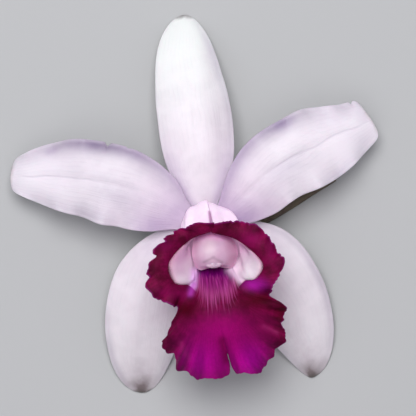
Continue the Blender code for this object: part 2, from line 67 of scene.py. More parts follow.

# What sepals and what petals share, and then what each has of its own, in even steps from the heart to the
# tip: points of its midrib, and half-widths on each side. arch is how far its sides sink, roll how far one of
# them rolls on. A nick has a side, a place along, a depth and a half-width. A lilac patch, partly painted
# shade, and a grey patch of painted shade each have a place (along 0 to 1, across -1 to 1), a reach each way
# and a strength. tint is the strength of a lilac cast. The two margin tables give the strength of a band of
# painted shade inside each margin, and the tip table that of a painted brown shade towards the tip,
# strongest round the place across that follows it.
SEPAL = {
    "skin": "sepal_white", "tip_power": 6, "arch": 2.2, "wave": 0.25, "roll": 0.0, "slant": 0.0,
    "channel": 0.25, "curl": 0.2, "nicks": [], "crease": 0.0, "crease_from": 0.5, "tip_painted_shade": [0], "tip_painted_shade_at": 0.0,
}
PETAL = {
    "skin": "petal_white", "tip_power": 100, "arch": 1.5, "wave": 0.8, "channel": 0.35, "curl": 0.2,
    "crease": 1.0, "tip_painted_shade": [0], "tip_painted_shade_at": 0.0,
}
BLADES = {
    "sepal_dorsal": SEPAL | {
        "midrib": [(-0.2, 1.3, -0.7), (-1.9, 13.4, 1.1), (-3.1, 26.4, 1.6), (-4.5, 38.4, -0.5),
            (-6.2, 50.8, -5.2), (-6.9, 63.8, -13.05)],
        "left": [1.6, 4.6, 7.8, 10.0, 10.9, 11.1, 11.2, 10.9, 10.7, 10.5, 9.8],
        "right": [1.6, 4.9, 8.6, 10.5, 11.1, 11.2, 10.9, 10.4, 10.2, 9.7, 8.2],
        "arch": 2.6, "wave": 0.15, "waves": 3.0, "curl": 0.15,
        "lilac_and_shade": [(0.16, -0.9, 0.16, 0.35, 0.9), (0.16, 0.9, 0.16, 0.35, 0.9),
            (0.80, 0.95, 0.14, 0.25, 0.35)],
        "grey_painted_shade": [(0.42, 0.62, 0.26, 0.28, 0.7), (0.2, 0.1, 0.2, 0.5, 0.25), (0.78, 0.8, 0.16, 0.3, 0.35)],
        "tint": [1.2, 1.1, 1.0, 1.0, 0.9, 0.6, 0.2, 0, 0, 0, 0],
        "margin_painted_shade_left": [0, 0.1, 0.1, 0.1, 0.1, 0, 0, 0, 0, 0, 0],
        "margin_painted_shade_right": [0, 0.2, 0.2, 0.15, 0.3, 0.4, 0.35, 0.3, 0.2, 0.2, 0],
    },
    "sepal_lateral_left": SEPAL | {
        "midrib": [(-1.1, -0.9, -0.7), (-9.8, -7.2, -1.4), (-16.4, -16.9, -2.6), (-19.0, -28.1, -5.0),
            (-20.2, -39.5, -8.6), (-19.4, -51.0, -12.9)],
        "left": [1.6, 5.0, 8.4, 10.3, 11.2, 11.3, 11.2, 11.5, 11.4, 10.6, 9.2],
        "right": [1.6, 4.2, 7.4, 9.7, 11.2, 11.8, 12.0, 11.7, 11.0, 10.6, 10.6],
        "waves": 2.0,
        "lilac_and_shade": [(0.2, 0.5, 0.16, 0.7, 0.4)],
        "grey_painted_shade": [(1.02, 0.1, 0.26, 1.2, 1.0), (0.55, -0.2, 0.3, 0.5, 0.3), (0.2, 0.9, 0.2, 0.5, 0.3)],
        "tint": [0.8],
        "margin_painted_shade_left": [0, 0.1, 0.1, 0.1, 0.1, 0.1, 0.1, 0.1, 0.2, 0.3, 0],
        "margin_painted_shade_right": [0, 0.1, 0.1, 0, 0, 0, 0.1, 0.3, 0.45, 0.45, 0],
        "tip_painted_shade": [0, 0, 0, 0, 0, 0, 0.03, 0.08, 0.12, 0.3, 1.4],
        "tip_painted_shade_at": 0.05,
    },
    "sepal_lateral_right": SEPAL | {
        "midrib": [(1.1, -0.9, -0.7), (9.9, -6.5, -1.4), (17.9, -14.2, -2.6), (24.0, -23.6, -5.0),
            (28.8, -34.9, -8.6), (32.2, -46.4, -12.9)],
        "left": [1.6, 5.0, 9.4, 12.3, 13.4, 13.4, 13.2, 12.6, 11.9, 10.9, 10.0],
        "right": [1.6, 5.2, 8.6, 10.3, 11.5, 12.0, 11.7, 10.8, 9.0, 7.2, 5.0],
        "waves": 2.5,
        "lilac_and_shade": [(0.2, -0.4, 0.16, 0.7, 0.4)],
        "grey_painted_shade": [(1.02, -0.1, 0.24, 1.2, 1.0), (0.5, 0.3, 0.3, 0.5, 0.45), (0.7, -0.9, 0.2, 0.3, 0.25)],
        "tint": [0.8],
        "margin_painted_shade_left": [0, 0.1, 0.2, 0.3, 0.4, 0.5, 0.5, 0.4, 0.3, 0.2, 0],
        "margin_painted_shade_right": [0, 0.1, 0.1, 0.1, 0.1, 0.1, 0.2, 0.3, 0.3, 0.2, 0],
        "tip_painted_shade": [0, 0, 0, 0, 0, 0, 0.02, 0.04, 0.06, 0.2, 1.5], "tip_painted_shade_at": 0.15,
    },
    "petal_left": PETAL | {
        "midrib": [(-1.3, 0.4, 0.5), (-12.3, 6.6, 2.8), (-23.9, 11.1, 4.4), (-35.5, 13.5, 3.6),
            (-47.4, 14.7, 0.2), (-59.2, 14.2, -5.2)],
        "left": [1.6, 5.6, 9.3, 11.3, 11.9, 12.4, 11.2, 10.6, 9.2, 6.9, 3.8],
        "right": [1.6, 3.0, 7.3, 9.9, 11.4, 11.9, 11.9, 11.5, 9.7, 7.7, 5.3],
        "waves": 4.5, "roll": 0.9, "slant": -0.5, "crease_from": 0.48,
        "nicks": [(1, 0.535, 1.3, 0.010), (1, 0.44, 0.4, 0.007)],
        "lilac_and_shade": [(0.60, 0.9, 0.12, 0.16, 0.5), (0.42, 0.90, 0.06, 0.14, 0.4),
            (0.26, 0.98, 0.16, 0.22, 0.45), (0.79, 0.75, 0.03, 0.12, 0.5), (0.22, -0.85, 0.11, 0.45, 0.5),
            (0.12, 0.0, 0.12, 1.2, 0.5), (0.5, -0.8, 0.12, 0.25, 0.1)],
        "grey_painted_shade": [(0.40, -0.3, 0.16, 0.4, 0.6), (0.60, 0.25, 0.22, 0.5, 0.2), (0.3, 0.55, 0.1, 0.2, 0.3),
            (0.60, 0.85, 0.14, 0.14, 0.4), (0.47, 0.92, 0.05, 0.14, 0.4), (0.76, 0.85, 0.12, 0.35, 0.5)],
        "tint": [1.2, 1.2, 1.0, 0.6, 0.3, 0, 0, 0, 0, 0, 0],
        "margin_painted_shade_left": [0, 0, 0, 0.05, 0.1, 0.15, 0.4, 0.3, 0.25, 0.2, 0.1],
        "margin_painted_shade_right": [0, 0.2, 0.3, 0.4, 0.55, 0.75, 0.9, 0.6, 0.35, 0.3, 0.1],
    },
    "petal_right": PETAL | {
        "midrib": [(1.3, 0.4, 0.5), (9.4, 7.1, 3.0), (18.0, 15.3, 4.8), (28.1, 21.5, 4.2),
            (38.7, 27.0, 1.0), (49.5, 31.5, -4.2)],
        "left": [1.6, 3.2, 6.4, 8.9, 10.8, 11.6, 11.6, 11.5, 9.6, 7.9, 7.6],
        "right": [1.6, 4.7, 7.9, 10.4, 10.9, 11.0, 11.8, 11.7, 10.5, 8.0, 5.2],
        "waves": 5.0, "roll": -0.9, "slant": 1.3, "crease_from": 0.34,
        "nicks": [(-1, 0.955, 0.9, 0.009)],
        "lilac_and_shade": [(0.59, -0.88, 0.055, 0.18, 0.75), (0.28, -1.0, 0.18, 0.35, 0.6),
            (0.46, -1.02, 0.1, 0.16, 0.4), (0.18, 0.75, 0.12, 0.45, 0.5), (0.10, 0.0, 0.12, 1.2, 0.6),
            (0.72, 1.0, 0.12, 0.2, 0.25)],
        "grey_painted_shade": [(0.50, 0.12, 0.10, 0.2, 0.6), (0.80, -0.7, 0.14, 0.4, 0.3), (0.42, 0.5, 0.2, 0.4, 0.25),
            (0.57, -0.9, 0.10, 0.14, 0.35), (0.90, 0.5, 0.06, 0.4, 0.3)],
        "tint": [1.4, 1.4, 1.2, 0.8, 0.4, 0, 0, 0, 0, 0, 0],
        "margin_painted_shade_left": [0, 0.15, 0.2, 0.22, 0.3, 0.5, 0.6, 0.4, 0.15, 0.3, 0.25],
        "margin_painted_shade_right": [0, 0.1, 0.1, 0, 0, 0, 0, 0.1, 0.1, 0.1, 0.1],
    },
}

# The lip's free edge and the throat's mouth on each side, as in the model
EDGE_RIGHT = [(6.5, -38.3, 15.6), (9.2, -43.1, 13.0), (13.3, -44.0, 11.6), (17.5, -40.7, 12.0),
    (20.4, -36.0, 13.0), (23.3, -33.0, 13.6), (22.6, -27.8, 15.2), (22.9, -24.2, 16.4), (20.6, -22.0, 17.2),
    (18.3, -20.6, 18.2), (18.3, -19.2, 20.2), (19.0, -17.6, 22.4), (20.6, -15.2, 23.5), (22.2, -11.2, 23.0),
    (19.8, -6.0, 22.5), (16.1, -1.3, 22.0), (10.5, 1.0, 21.5), (6.1, 1.2, 21.5), (1.2, 0.3, 21.5)]
EDGE_LEFT = [(6.5, -38.3, 15.6), (5.2, -43.1, 13.0), (2.6, -45.4, 11.6), (-2.1, -45.1, 11.4),
    (-7.1, -43.2, 11.8), (-10.1, -38.3, 12.8), (-13.0, -35.0, 13.4), (-11.6, -31.6, 14.8),
    (-10.0, -28.2, 16.4), (-8.6, -24.8, 18.2), (-8.8, -23.4, 20.0), (-10.8, -22.8, 22.2),
    (-14.3, -21.4, 23.5), (-17.5, -17.6, 24.0), (-17.2, -12.4, 23.5), (-15.1, -7.1, 23.0),
    (-11.7, -3.1, 22.5), (-6.7, -0.7, 22.0), (1.2, 0.3, 21.5)]
MOUTH_RIGHT = [(2.9, -22.6, 21.0), (5.4, -22.2, 21.1), (7.2, -21.3, 20.8), (8.5, -19.8, 20.0),
    (9.4, -17.8, 18.4), (11.6, -15.9, 18.8), (14.9, -15.0, 21.3), (16.2, -10.6, 21.5), (9.0, -4.1, 20.0),
    (1.2, -1.7, 19.2)]
MOUTH_LEFT = [(2.9, -22.6, 21.0), (0.5, -22.4, 21.1), (-1.1, -21.8, 20.8), (-2.2, -20.8, 20.2),
    (-3.3, -19.2, 19.0), (-5.8, -17.3, 19.0), (-9.6, -16.6, 21.3), (-11.2, -10.8, 21.5), (-5.2, -4.1, 20.0),
    (1.2, -1.7, 19.2)]
WAIST_RIGHT = [(9.6, -13.6, 16.6), (10.7, -12.6, 17.6), (10.5, -9.4, 17.8), (10.8, -4.4, 17.0),
    (1.0, 0.0, 16.0)]
WAIST_LEFT = [(-3.4, -14.2, 16.4), (-4.4, -12.6, 17.5), (-4.6, -9.4, 17.8), (-5.1, -4.4, 17.0),
    (1.0, 0.0, 16.0)]
WAIST_AT = 0.7
HUG_GROWS = (0.44, 0.6)
HUG_FADES = (0.82, 0.94)
HUG_BULGE_RIGHT = 3.2
HUG_BULGE_LEFT = 5.0
GULLY_ANGLE = -35.0
TUBE_LEAN = np.array([0.04, -0.56, 0.83])
FLOOR_LEAN = np.array([0.04, -0.80, 0.60])
TUBE_BASE = np.array([0.2, 0.0, 2.2])
TUBE_BASE_RADIUS = 3.4
BELLY_RISE = np.array([0.3, 0.0, 4.2])
TUBE_BULGE = 8.2
FLOOR_BULGE = 3.0
THROAT_RUN = 7.5
MOUTH_OPENING = 0.8
SEAM_BEND = np.array([-2.2, 0.0, 0.0])
FLARE_START = 0.28
FLARE_SPREAD = 0.7
FLARE_LIFT = 0.12
RUFFLE = 0.9
RUFFLE_LENGTH = 8.0
RUFFLE_FROM = 1.4

# Finer work on the lip: fineness and thickness, how the left side lobe closes over the right one and stands
# fuller at its shoulder (round and along the tube), frills, small teeth, callus and the midlobe's groove
LIP_COLUMNS = 300
TUBE_ROWS = 30
FLARE_ROWS = 44
LIP_BODY = 0.72
LIP_MARGIN = 0.34
SEAM_OVER = np.array([0.8, 0.5146, 0.3472])
SEAM_UNDER = np.array([0.25, 0.0, 0.0])
SHOULDER = 1.1
SHOULDER_ROUND = (0.82, 0.09)
SHOULDER_ALONG = (0.6, 0.2)
FRILL = 0.35
FRILL_FROM = 1.62
FRILL_LENGTH = 3.4
TOOTH = 0.3
TOOTH_LENGTH = 1.7
CALLUS_AT = 2.9
CALLUS_REACH = 4.2
CALLUS_RIDGE = 0.16
CALLUS_PITCH = 1.35
MIDLOBE_TOP = (2.9, -22.6)
MIDLOBE_SLOPE = 0.23
GROOVE_SINK = 0.6
GROOVE_WIDTH = 1.5

# Borders of the throat's purple floor on the face of the bloom: heights (Y) and the X at each
FLOOR_RIGHT = ((-20.0, -17.5, -16.0, -12.5, -9.0), (11.6, 10.6, 9.7, 7.6, 6.5))
FLOOR_LEFT = ((-20.5, -13.4, -9.0), (-4.1, -3.2, -3.0))

# Big teeth (+) and bites (-) of the lip's margin: distance from the cleft (negative on the left side), height
# and half-width. Shifts of the margin to the right beside the cleft have the same three numbers
TEETH = [(0.0, -2.0, 1.1), (6.0, 0.6, 1.6), (12.6, 0.6, 1.2), (15.7, -0.2, 0.8), (18.6, 1.1, 1.1),
    (20.1, 0.8, 0.8), (24.7, 0.8, 1.1), (25.7, -0.5, 0.4), (29.9, -2.0, 1.3), (31.6, 0.5, 0.5),
    (34.3, 0.7, 1.0), (36.8, -0.3, 0.8), (44.6, 0.6, 1.6), (51.9, -0.4, 0.7), (55.5, 0.7, 1.1),
    (58.6, -0.5, 0.6), (62.1, -0.6, 0.6), (65.0, -0.2, 0.5), (68.4, 0.5, 1.3), (75.4, -0.3, 0.6),
    (-5.6, 0.7, 1.8), (-16.6, -0.3, 1.0), (-22.4, 0.5, 1.5), (-25.5, -0.6, 0.6), (-27.1, 0.9, 0.9),
    (-29.4, 0.5, 0.5), (-30.2, -0.3, 0.4), (-31.1, 0.4, 0.5), (-46.0, 0.6, 1.2), (-50.4, -0.3, 0.7),
    (-52.9, 0.3, 1.1), (-56.9, 0.4, 1.0), (-58.9, -1.2, 0.8), (-61.8, -0.4, 0.5), (-65.4, -1.8, 0.8),
    (-67.6, 0.5, 0.9), (-70.8, -1.3, 0.7), (-74.4, -0.9, 0.6), (-78.3, -0.6, 0.6), (-82.2, 0.6, 1.8)]
CLEFT_SHIFTS = [(-1.5, -0.6, 1.0), (-3.6, 0.7, 1.4), (-5.8, 1.2, 1.5), (1.6, 0.4, 1.0), (3.0, 0.5, 1.4)]

# Marks on the lip's face: patches (strength, X, Y, reach across and up) and lines (strength, two ends, width)
LIP_MARKS = {
    "lower": ([(0.75, -1.5, -40.5, 6.0, 6.5), (1.0, 12.6, -40.0, 5.0, 5.5)], []),
    # Painted shade over a darker red: under the side lobes, round the cleft and at the far right
    "dark_red_and_shade": ([(1.0, -6.2, -24.6, 4.2, 2.8), (1.0, 14.8, -21.6, 4.6, 2.6), (0.8, 22.5, -25.5, 3.0, 4.5)],
              [(0.7, (4.4, -33.5), (5.6, -39.5), 1.5)]),
    # Painted highlight on the fold at the right side lobe's base
    "fold_highlight": ([(1.0, 14.2, -17.2, 3.0, 1.7)], []),
    # Rosy colour with painted highlights on the collar and the midlobe
    "rosy_highlight": ([(0.9, 13.2, -4.0, 3.4, 2.0), (0.7, 19.0, -8.0, 1.6, 3.0), (0.6, -12.2, -6.0, 1.8, 1.8),
              (0.5, -11.4, -19.8, 3.4, 1.6), (0.5, 17.0, -30.5, 3.0, 3.0), (0.6, -6.8, -20.2, 1.8, 1.6)], []),
    # Pink, with painted shade on the left wall beside the hood
    "pink_and_shade": ([(0.75, -8.3, -11.5, 4.0, 6.0)], []),
    # Painted pools of light on the throat's walls
    "light": ([(0.6, 11.8, -13.6, 2.0, 1.8), (0.25, -7.8, -15.4, 2.0, 1.2)], []),
    # Pink streaks, partly painted highlight
    "pink_streaks_and_highlight": ([], [(1.0, (16.5, -29.6), (20.3, -31.4), 0.7), (0.6, (-7.6, -34.5), (-5.4, -39.0), 0.9)]),
    # Painted highlights on the folds of the throat: left, right and the lower left one
    "left_fold_highlight": ([], [(1.0, (-3.9, -13.6), (-4.2, -17.8), 1.1)]),
    "right_fold_highlight": ([], [(1.0, (7.0, -13.1), (9.8, -16.0), 1.3)]),
    "low_fold_highlight": ([], [(1.0, (-4.1, -17.4), (-4.8, -19.9), 1.0)]),
    # Lines beside the hood where a painted glow lifts the shade of the crevices
    "crevice_glow": ([], [(1.0, (-3.8, -4.3), (-3.6, -13.1), 1.2), (1.0, (9.1, -4.9), (8.6, -13.0), 1.2)]),
    "keel": ([], [(1.0, (0.7, 3.6), (1.2, 0.4), 0.4)]),
}

# Column, with lines of painted shade on its hood's brow, and the cap at its tip. A fineness is the steps
# along and round
COLUMN_FINENESS = (110, 96)
COLUMN_PATH = [(0.2, 0.0, 1.5), (0.5, -0.3, 6.0), (1.0, -2.0, 11.0), (1.9, -4.7, 14.8), (2.4, -8.4, 16.5),
    (2.4, -12.0, 15.4)]
COLUMN_WIDTH = [5.0, 5.8, 8.8, 12.2, 13.8, 11.6]
COLUMN_THICKNESS = [5.0, 5.2, 5.8, 6.4, 6.6, 4.0]
COLUMN_FLAT_UNDER = 0.72
COLUMN_KEEN = 0.8
HOOD_SHORTER = 0.5
HOOD_ARMS = 1.0
BROW_SHADE_LINES = [(1.0, (-0.9, -10.8), (1.8, -9.4), 0.4), (1.0, (1.8, -9.4), (4.4, -10.8), 0.4)]
CAP_FINENESS = (48, 64)
CAP_CENTRE = np.array([1.8, -11.0, 17.4])
CAP_SIZE = np.array([2.8, 1.6, 1.5])
CAP_CREASE = 0.14

# Ovary and stalk
STALK_FINENESS = (200, 72)
STALK_PATH = [(0.0, 0.0, -1.45), (0.6, 0.0, -5.2), (3.6, 0.2, -9.0), (9.2, 0.5, -10.7), (16.7, 1.8, -11.2),
    (24.3, 5.6, -11.6), (31.5, 10.2, -11.9), (38.6, 14.6, -11.9)]
RECEPTACLE_TOP = -1.45
RECEPTACLE_RADIUS = 3.2
OVARY_RADIUS = 2.6
PEDICEL_RADIUS = 1.5
GROOVES = 6
GROOVE_DEPTH = 0.12

# The two white skins, with the width in mm of the band of painted shade inside the margin, and tip_from
# where the tip turns darker
WHITES = {
    "sepal_white": {
        "body": (0.86, 0.83, 0.86), "lilac_and_shade": (0.56, 0.46, 0.62), "grey_painted_shade": (0.60, 0.55, 0.60),
        "back": (0.74, 0.74, 0.70), "tip": (0.10, 0.085, 0.078), "tip_from": 0.978, "margin_painted_shade_mm": 3.2,
    },
    "petal_white": {
        "body": (0.81, 0.74, 0.81), "lilac_and_shade": (0.44, 0.33, 0.54), "grey_painted_shade": (0.50, 0.43, 0.54),
        "back": (0.76, 0.72, 0.78), "tip": (0.62, 0.56, 0.56), "tip_from": 0.985, "margin_painted_shade_mm": 6.4,
    },
}
TABLE_HALF = 1.5


def along(values, u):
    """Smooth curve through evenly spaced numbers or points, at u from 0 to 1."""
    table = np.asarray(values, float)
    last = len(table) - 1
    place = np.clip(np.asarray(u, float), 0, 1) * last
    i = np.minimum(place.astype(int), last - 1)
    t = place - i
    if table.ndim == 2:
        t = t[..., None]
    first, end = table[:1] * 2 - table[1:2], table[-1:] * 2 - table[-2:-1]
    padded = np.concatenate([first, table, end])
    a, b, c, d = padded[i], padded[i + 1], padded[i + 2], padded[i + 3]
    bend = (a * 2 - b * 5 + c * 4 - d) * t ** 2 + (b * 3 - a - c * 3 + d) * t ** 3
    return (b * 2 + (c - a) * t + bend) * 0.5


def ease(low, high, x):
    """Soft step from 0 at the low value to 1 at the high one."""
    t = np.clip((x - low) / (high - low), 0, 1)
    return t * t * (3 - 2 * t)


def between(x, grows, fades):
    """1 after a soft rise and before a soft fall of x, each given by its two ends."""
    return ease(*grows, x) * (1 - ease(*fades, x))


def bezier(a, b, c, d, t):
    """Curve from a to d with the handles b and c."""
    s = 1 - t
    return a * s ** 3 + b * (3 * s * s * t) + c * (3 * s * t * t) + d * t ** 3


def hill(x, centre, width):
    """Soft hill of height 1 round a centre."""
    return np.exp(-((x - centre) / width) ** 2)


def hills(x, listed):
    """Soft hills and dips along x, each given by its place, height and half-width."""
    return sum(height * hill(x, place, width) for place, height, width in listed)


def unit(vectors):
    """Vectors brought to length 1."""
    return vectors / np.maximum(np.linalg.norm(vectors, axis=-1, keepdims=True), 1e-12)


def directions(grid):
    """Unit vectors of a grid of points: ahead, across and its normal."""
    ahead = unit(np.gradient(grid, axis=0))
    across = unit(np.gradient(grid, axis=1))
    return ahead, across, unit(np.cross(across, ahead))


def new_object(name, data):
    """Object placed in the scene."""
    made = bpy.data.objects.new(name, data)
    bpy.context.scene.collection.objects.link(made)
    return made


def make_piece(name, points, faces, skin, paint):
    """Smooth piece in the frame's metres, with named values painted on its points."""
    mesh = bpy.data.meshes.new(name)
    mesh.from_pydata((HEART + points * MM).tolist(), [], faces)
    mesh.shade_smooth()
    mesh.materials.append(skin)
    for label, values in paint.items():
        layer = mesh.attributes.new(label, "FLOAT", "POINT")
        layer.data.foreach_set("value", np.ascontiguousarray(values, np.float32).ravel())
    piece = new_object(name, mesh)
    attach(piece, "root")
    return piece


def border_of(rows, columns):
    """Indices of a grid's border, in one round."""
    index = np.arange(rows * columns).reshape(rows, columns)
    parts = [index[0, :-1], index[:-1, -1], index[-1, :0:-1], index[:0:-1, 0]]
    return np.concatenate(parts)


def quads(rows, columns, start, flipped):
    """Faces of a grid of points, facing its normal or away from it."""
    index = np.arange(rows * columns).reshape(rows, columns) + start
    corners = [index[:-1, :-1], index[:-1, 1:], index[1:, 1:], index[1:, :-1]]
    if flipped:
        corners.reverse()
    return np.stack(corners, axis=-1).reshape(-1, 4).tolist()


def tissue(name, grid, front, back, skin, paint):
    """Closed sheet of tissue round a grid, with its own thickness to each face and a round rim."""
    rows, columns, _ = grid.shape
    ahead, across, normal = directions(grid)
    out = np.zeros_like(grid)
    out[0] -= ahead[0]
    out[-1] += ahead[-1]
    out[:, 0] -= across[:, 0]
    out[:, -1] += across[:, -1]
    ring = border_of(rows, columns)
    flat = grid.reshape(-1, 3)
    swell = ((front + back) / 2).reshape(-1, 1)[ring]
    rim = flat[ring] + unit(out.reshape(-1, 3)[ring]) * swell * 0.8
    top = (grid + normal * front[..., None]).reshape(-1, 3)
    under = (grid - normal * back[..., None]).reshape(-1, 3)
    count = rows * columns
    faces = quads(rows, columns, 0, False) + quads(rows, columns, count, True)
    following = np.roll(ring, -1)
    rim_index = np.arange(len(ring)) + 2 * count
    rim_next = np.roll(rim_index, -1)
    faces += np.stack([following, ring, rim_index, rim_next], axis=-1).tolist()
    faces += np.stack([rim_next, rim_index, ring + count, following + count], axis=-1).tolist()
    full = {}
    for label, values in paint.items():
        sheet = np.broadcast_to(values, (rows, columns)).ravel()
        full[label] = np.concatenate([sheet, sheet, sheet[ring]])
    full["inner"] = np.concatenate([np.ones(count), np.zeros(count), np.full(len(ring), 0.5)])
    return make_piece(name, np.concatenate([top, under, rim]), faces, skin, full)


def patches(listed, u, v):
    """Soft patches of colour on a blade, laid over each other up to 1."""
    total = 0.0 * u * v
    for place, side, reach, width, strength in listed:
        total = total + strength * hill(u, place, reach) * hill(v, side, width)
    return np.clip(total, 0, 1)


def strength_along(values, u):
    """Value at u, straight between evenly spaced ones."""
    return np.interp(u, np.linspace(0, 1, len(values)), values)


def blade_lift(spec, u, v, x, round_tip):
    """How far a blade stands above its midrib: waves, arch, rolled side, curled margin and channel."""
    swing = np.sin(tau * (spec["waves"] * u + np.where(v > 0, 0.25, 0.0)))
    lift = spec["wave"] * ease(0.15, ARCH_FULL_AT, u) * np.abs(v) ** 3 * swing * round_tip
    rolled = np.where(v * spec["roll"] > 0, abs(spec["roll"]) * v ** 4, 0.0)
    lift -= (spec["arch"] * v * v + rolled) * ease(0, ARCH_FULL_AT, u) * round_tip
    small = np.sin(tau * 2.1 * spec["waves"] * u + 2.6 * np.sin(9 * u) + np.where(v > 0, 1.3, 0.0))
    lift += spec["curl"] * ease(0.25, 0.6, u) * np.abs(v) ** 5 * small * round_tip
    grows = (spec["crease_from"] - 0.3, spec["crease_from"])
    return lift - spec["channel"] * hill(x, 0, CHANNEL_WIDTH) * between(u, grows, (0.8, 0.98))


def blade_paint(spec, u, v, x, margin):
    """Where a blade is lilac, tinted or creased, and where it gets painted shade, as soft values."""
    margin_painted_shade = np.where(v > 0, along(spec["margin_painted_shade_right"], u), along(spec["margin_painted_shade_left"], u))
    across = TIP_PAINTED_SHADE_EVERYWHERE + (1 - TIP_PAINTED_SHADE_EVERYWHERE) * hill(v, spec["tip_painted_shade_at"], TIP_PAINTED_SHADE_WIDTH)
    tip_painted_shade = strength_along(spec["tip_painted_shade"], u) * across
    grows = (spec["crease_from"], spec["crease_from"] + 0.15)
    return {"along": u, "across": v, "margin": margin, "offset": x, "lilac_and_shade": patches(spec["lilac_and_shade"], u, v),
            "grey_painted_shade": patches(spec["grey_painted_shade"], u, v), "crease": spec["crease"] * between(u, grows, (0.9, 0.97)),
            "margin_painted_shade": np.clip(margin_painted_shade, 0, 1), "tip_painted_shade": np.clip(tip_painted_shade, 0, 1),
            "tint": strength_along(spec["tint"], u) / TINT_FULL}


def tepal(name, spec, skins):
    """Sepal or petal: its midrib, outline and thickness, with keel, slanted tip and nicks."""
    steps = np.linspace(0.0, BLADE_TIP_STOP, BLADE_ROWS + 1)
    u = np.sin(steps * pi / 2)[:, None]
    v = np.linspace(-1.0, 1.0, BLADE_COLUMNS + 1)[None, :]
    midrib = spec["midrib"]
    centre = along(midrib, u[:, 0])[:, None, :]
    ahead = along(midrib, u + 0.01) - along(midrib, u - 0.01)
    across = unit(ahead[..., [1, 0, 0]] * (1, -1, 0))
    round_tip = np.sqrt(np.maximum(1 - u ** spec["tip_power"], 0))
    half = np.where(v > 0, along(spec["right"], u), along(spec["left"], u)) * round_tip
    x = half * v
    for side, place, depth, width in spec["nicks"]:
        x = x - np.where(v * side > 0, side * depth * np.abs(v) ** 9 * hill(u, place, width), 0)
    lift = blade_lift(spec, u, v, x, round_tip)
    skew = spec["slant"] * ease(SLANT_FROM, 1, u) * v * round_tip
    grid = centre + across * x[..., None] + unit(ahead) * skew[..., None] + UP * lift[..., None]
    fleshy = BLADE_MARGIN + (BLADE_MIDDLE - BLADE_MARGIN) * (1 - v ** 4) * (1 - ease(0.75, 1, u))
    keel = KEEL_DEPTH * hill(x, 0, KEEL_WIDTH) * between(u, (0, 0.1), (0.3, 0.95))
    length = np.linalg.norm(np.diff(along(midrib, np.linspace(0, 1, 60)), axis=0), axis=1).sum()
    margin = np.minimum(half * (1 - np.abs(v)), (1 - u) * length)
    paint = blade_paint(spec, u, v, x, margin)
    piece = tissue(name, grid, fleshy / 2, fleshy / 2 + keel, skins[spec["skin"]], paint)
    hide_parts(name)


def even_steps(edge, count):
    """Values from 0 to 1 that part an edge into equal stretches, and their distances along it."""
    fine = np.linspace(0.0, 1.0, 2001)
    run = np.concatenate([[0.0], np.cumsum(np.linalg.norm(np.diff(along(edge, fine), axis=0), axis=1))])
    goals = np.linspace(0.0, run[-1], count + 1)
    return np.interp(goals, run, fine), goals


def neck_through(base, belly, waist, mouth):
    """Third handle of a curve from base to mouth that makes it pass the waist."""
    t = WAIST_AT
    s = 1 - t
    return (waist - base * s ** 3 - belly * (3 * s * s * t) - mouth * t ** 3) / (3 * s * t * t)


def lip_rays(edge, mouth, hand, q, s):
    """One side's points at each q round it, from the base (s 0) by the mouth (1) to the free edge (2)."""
    floor_turn = -90 + (GULLY_ANGLE + 90) * q * 2
    wall_turn = GULLY_ANGLE + (90 - GULLY_ANGLE) * (q * 2 - 1)
    angle = np.radians(np.where(q < 0.5, floor_turn, wall_turn))
    out = np.stack([np.cos(angle) * hand, np.sin(angle), angle * 0], axis=-1)
    seam = ease(0.88, 1, q)[:, None] * (SEAM_OVER if hand < 0 else SEAM_UNDER)
    wall = ease(0.15, 0.6, q)[:, None]
    opening = MOUTH_OPENING * wall * (1 - ease(0.85, 1, q))[:, None]
    lean = unit(unit(FLOOR_LEAN + (TUBE_LEAN - FLOOR_LEAN) * wall) + out * opening)
    mouth_at = along(mouth, q) + seam
    edge_at = along(edge, q) + seam
    base = TUBE_BASE + out * TUBE_BASE_RADIUS + seam * 0.4
    bend = SEAM_BEND * ease(0.82, 1, q)[:, None]
    hug = between(q, HUG_GROWS, HUG_FADES)[:, None]
    bulge = FLOOR_BULGE + (TUBE_BULGE - FLOOR_BULGE) * wall
    bulge = bulge + (HUG_BULGE_LEFT if hand < 0 else HUG_BULGE_RIGHT) * hug
    belly = base + out * bulge + BELLY_RISE + seam * 0.6 + bend
    reach = np.linalg.norm(edge_at - mouth_at, axis=1, keepdims=True)
    leaving = mouth_at + lean * (reach * FLARE_START)
    arriving = mouth_at + (edge_at - mouth_at) * FLARE_SPREAD + lean * (reach * FLARE_LIFT)
    t = s[:, None, None]
    neck = mouth_at - lean * THROAT_RUN + bend * 0.5
    waist = along(WAIST_LEFT if hand < 0 else WAIST_RIGHT, q * 2 - 1)
    neck = neck + (neck_through(base, belly, waist, mouth_at) - neck) * hug
    tube = bezier(base, belly, neck, mouth_at, np.minimum(t, 1))
    if hand < 0:
        tube = tube + out * (SHOULDER * hill(q, *SHOULDER_ROUND))[:, None] * hill(t, *SHOULDER_ALONG)
    flare = bezier(mouth_at, leaving, arriving, edge_at, np.maximum(t - 1, 0))
    return np.where(t <= 1.0, tube, flare)


def calm_ends(q):
    """1 along the lip's edge, falling to 0 at the cleft, the bay and the seam."""
    return between(q, (0, 0.06), (0.94, 1)) * ease(0.02, 0.1, np.abs(q - 0.5))


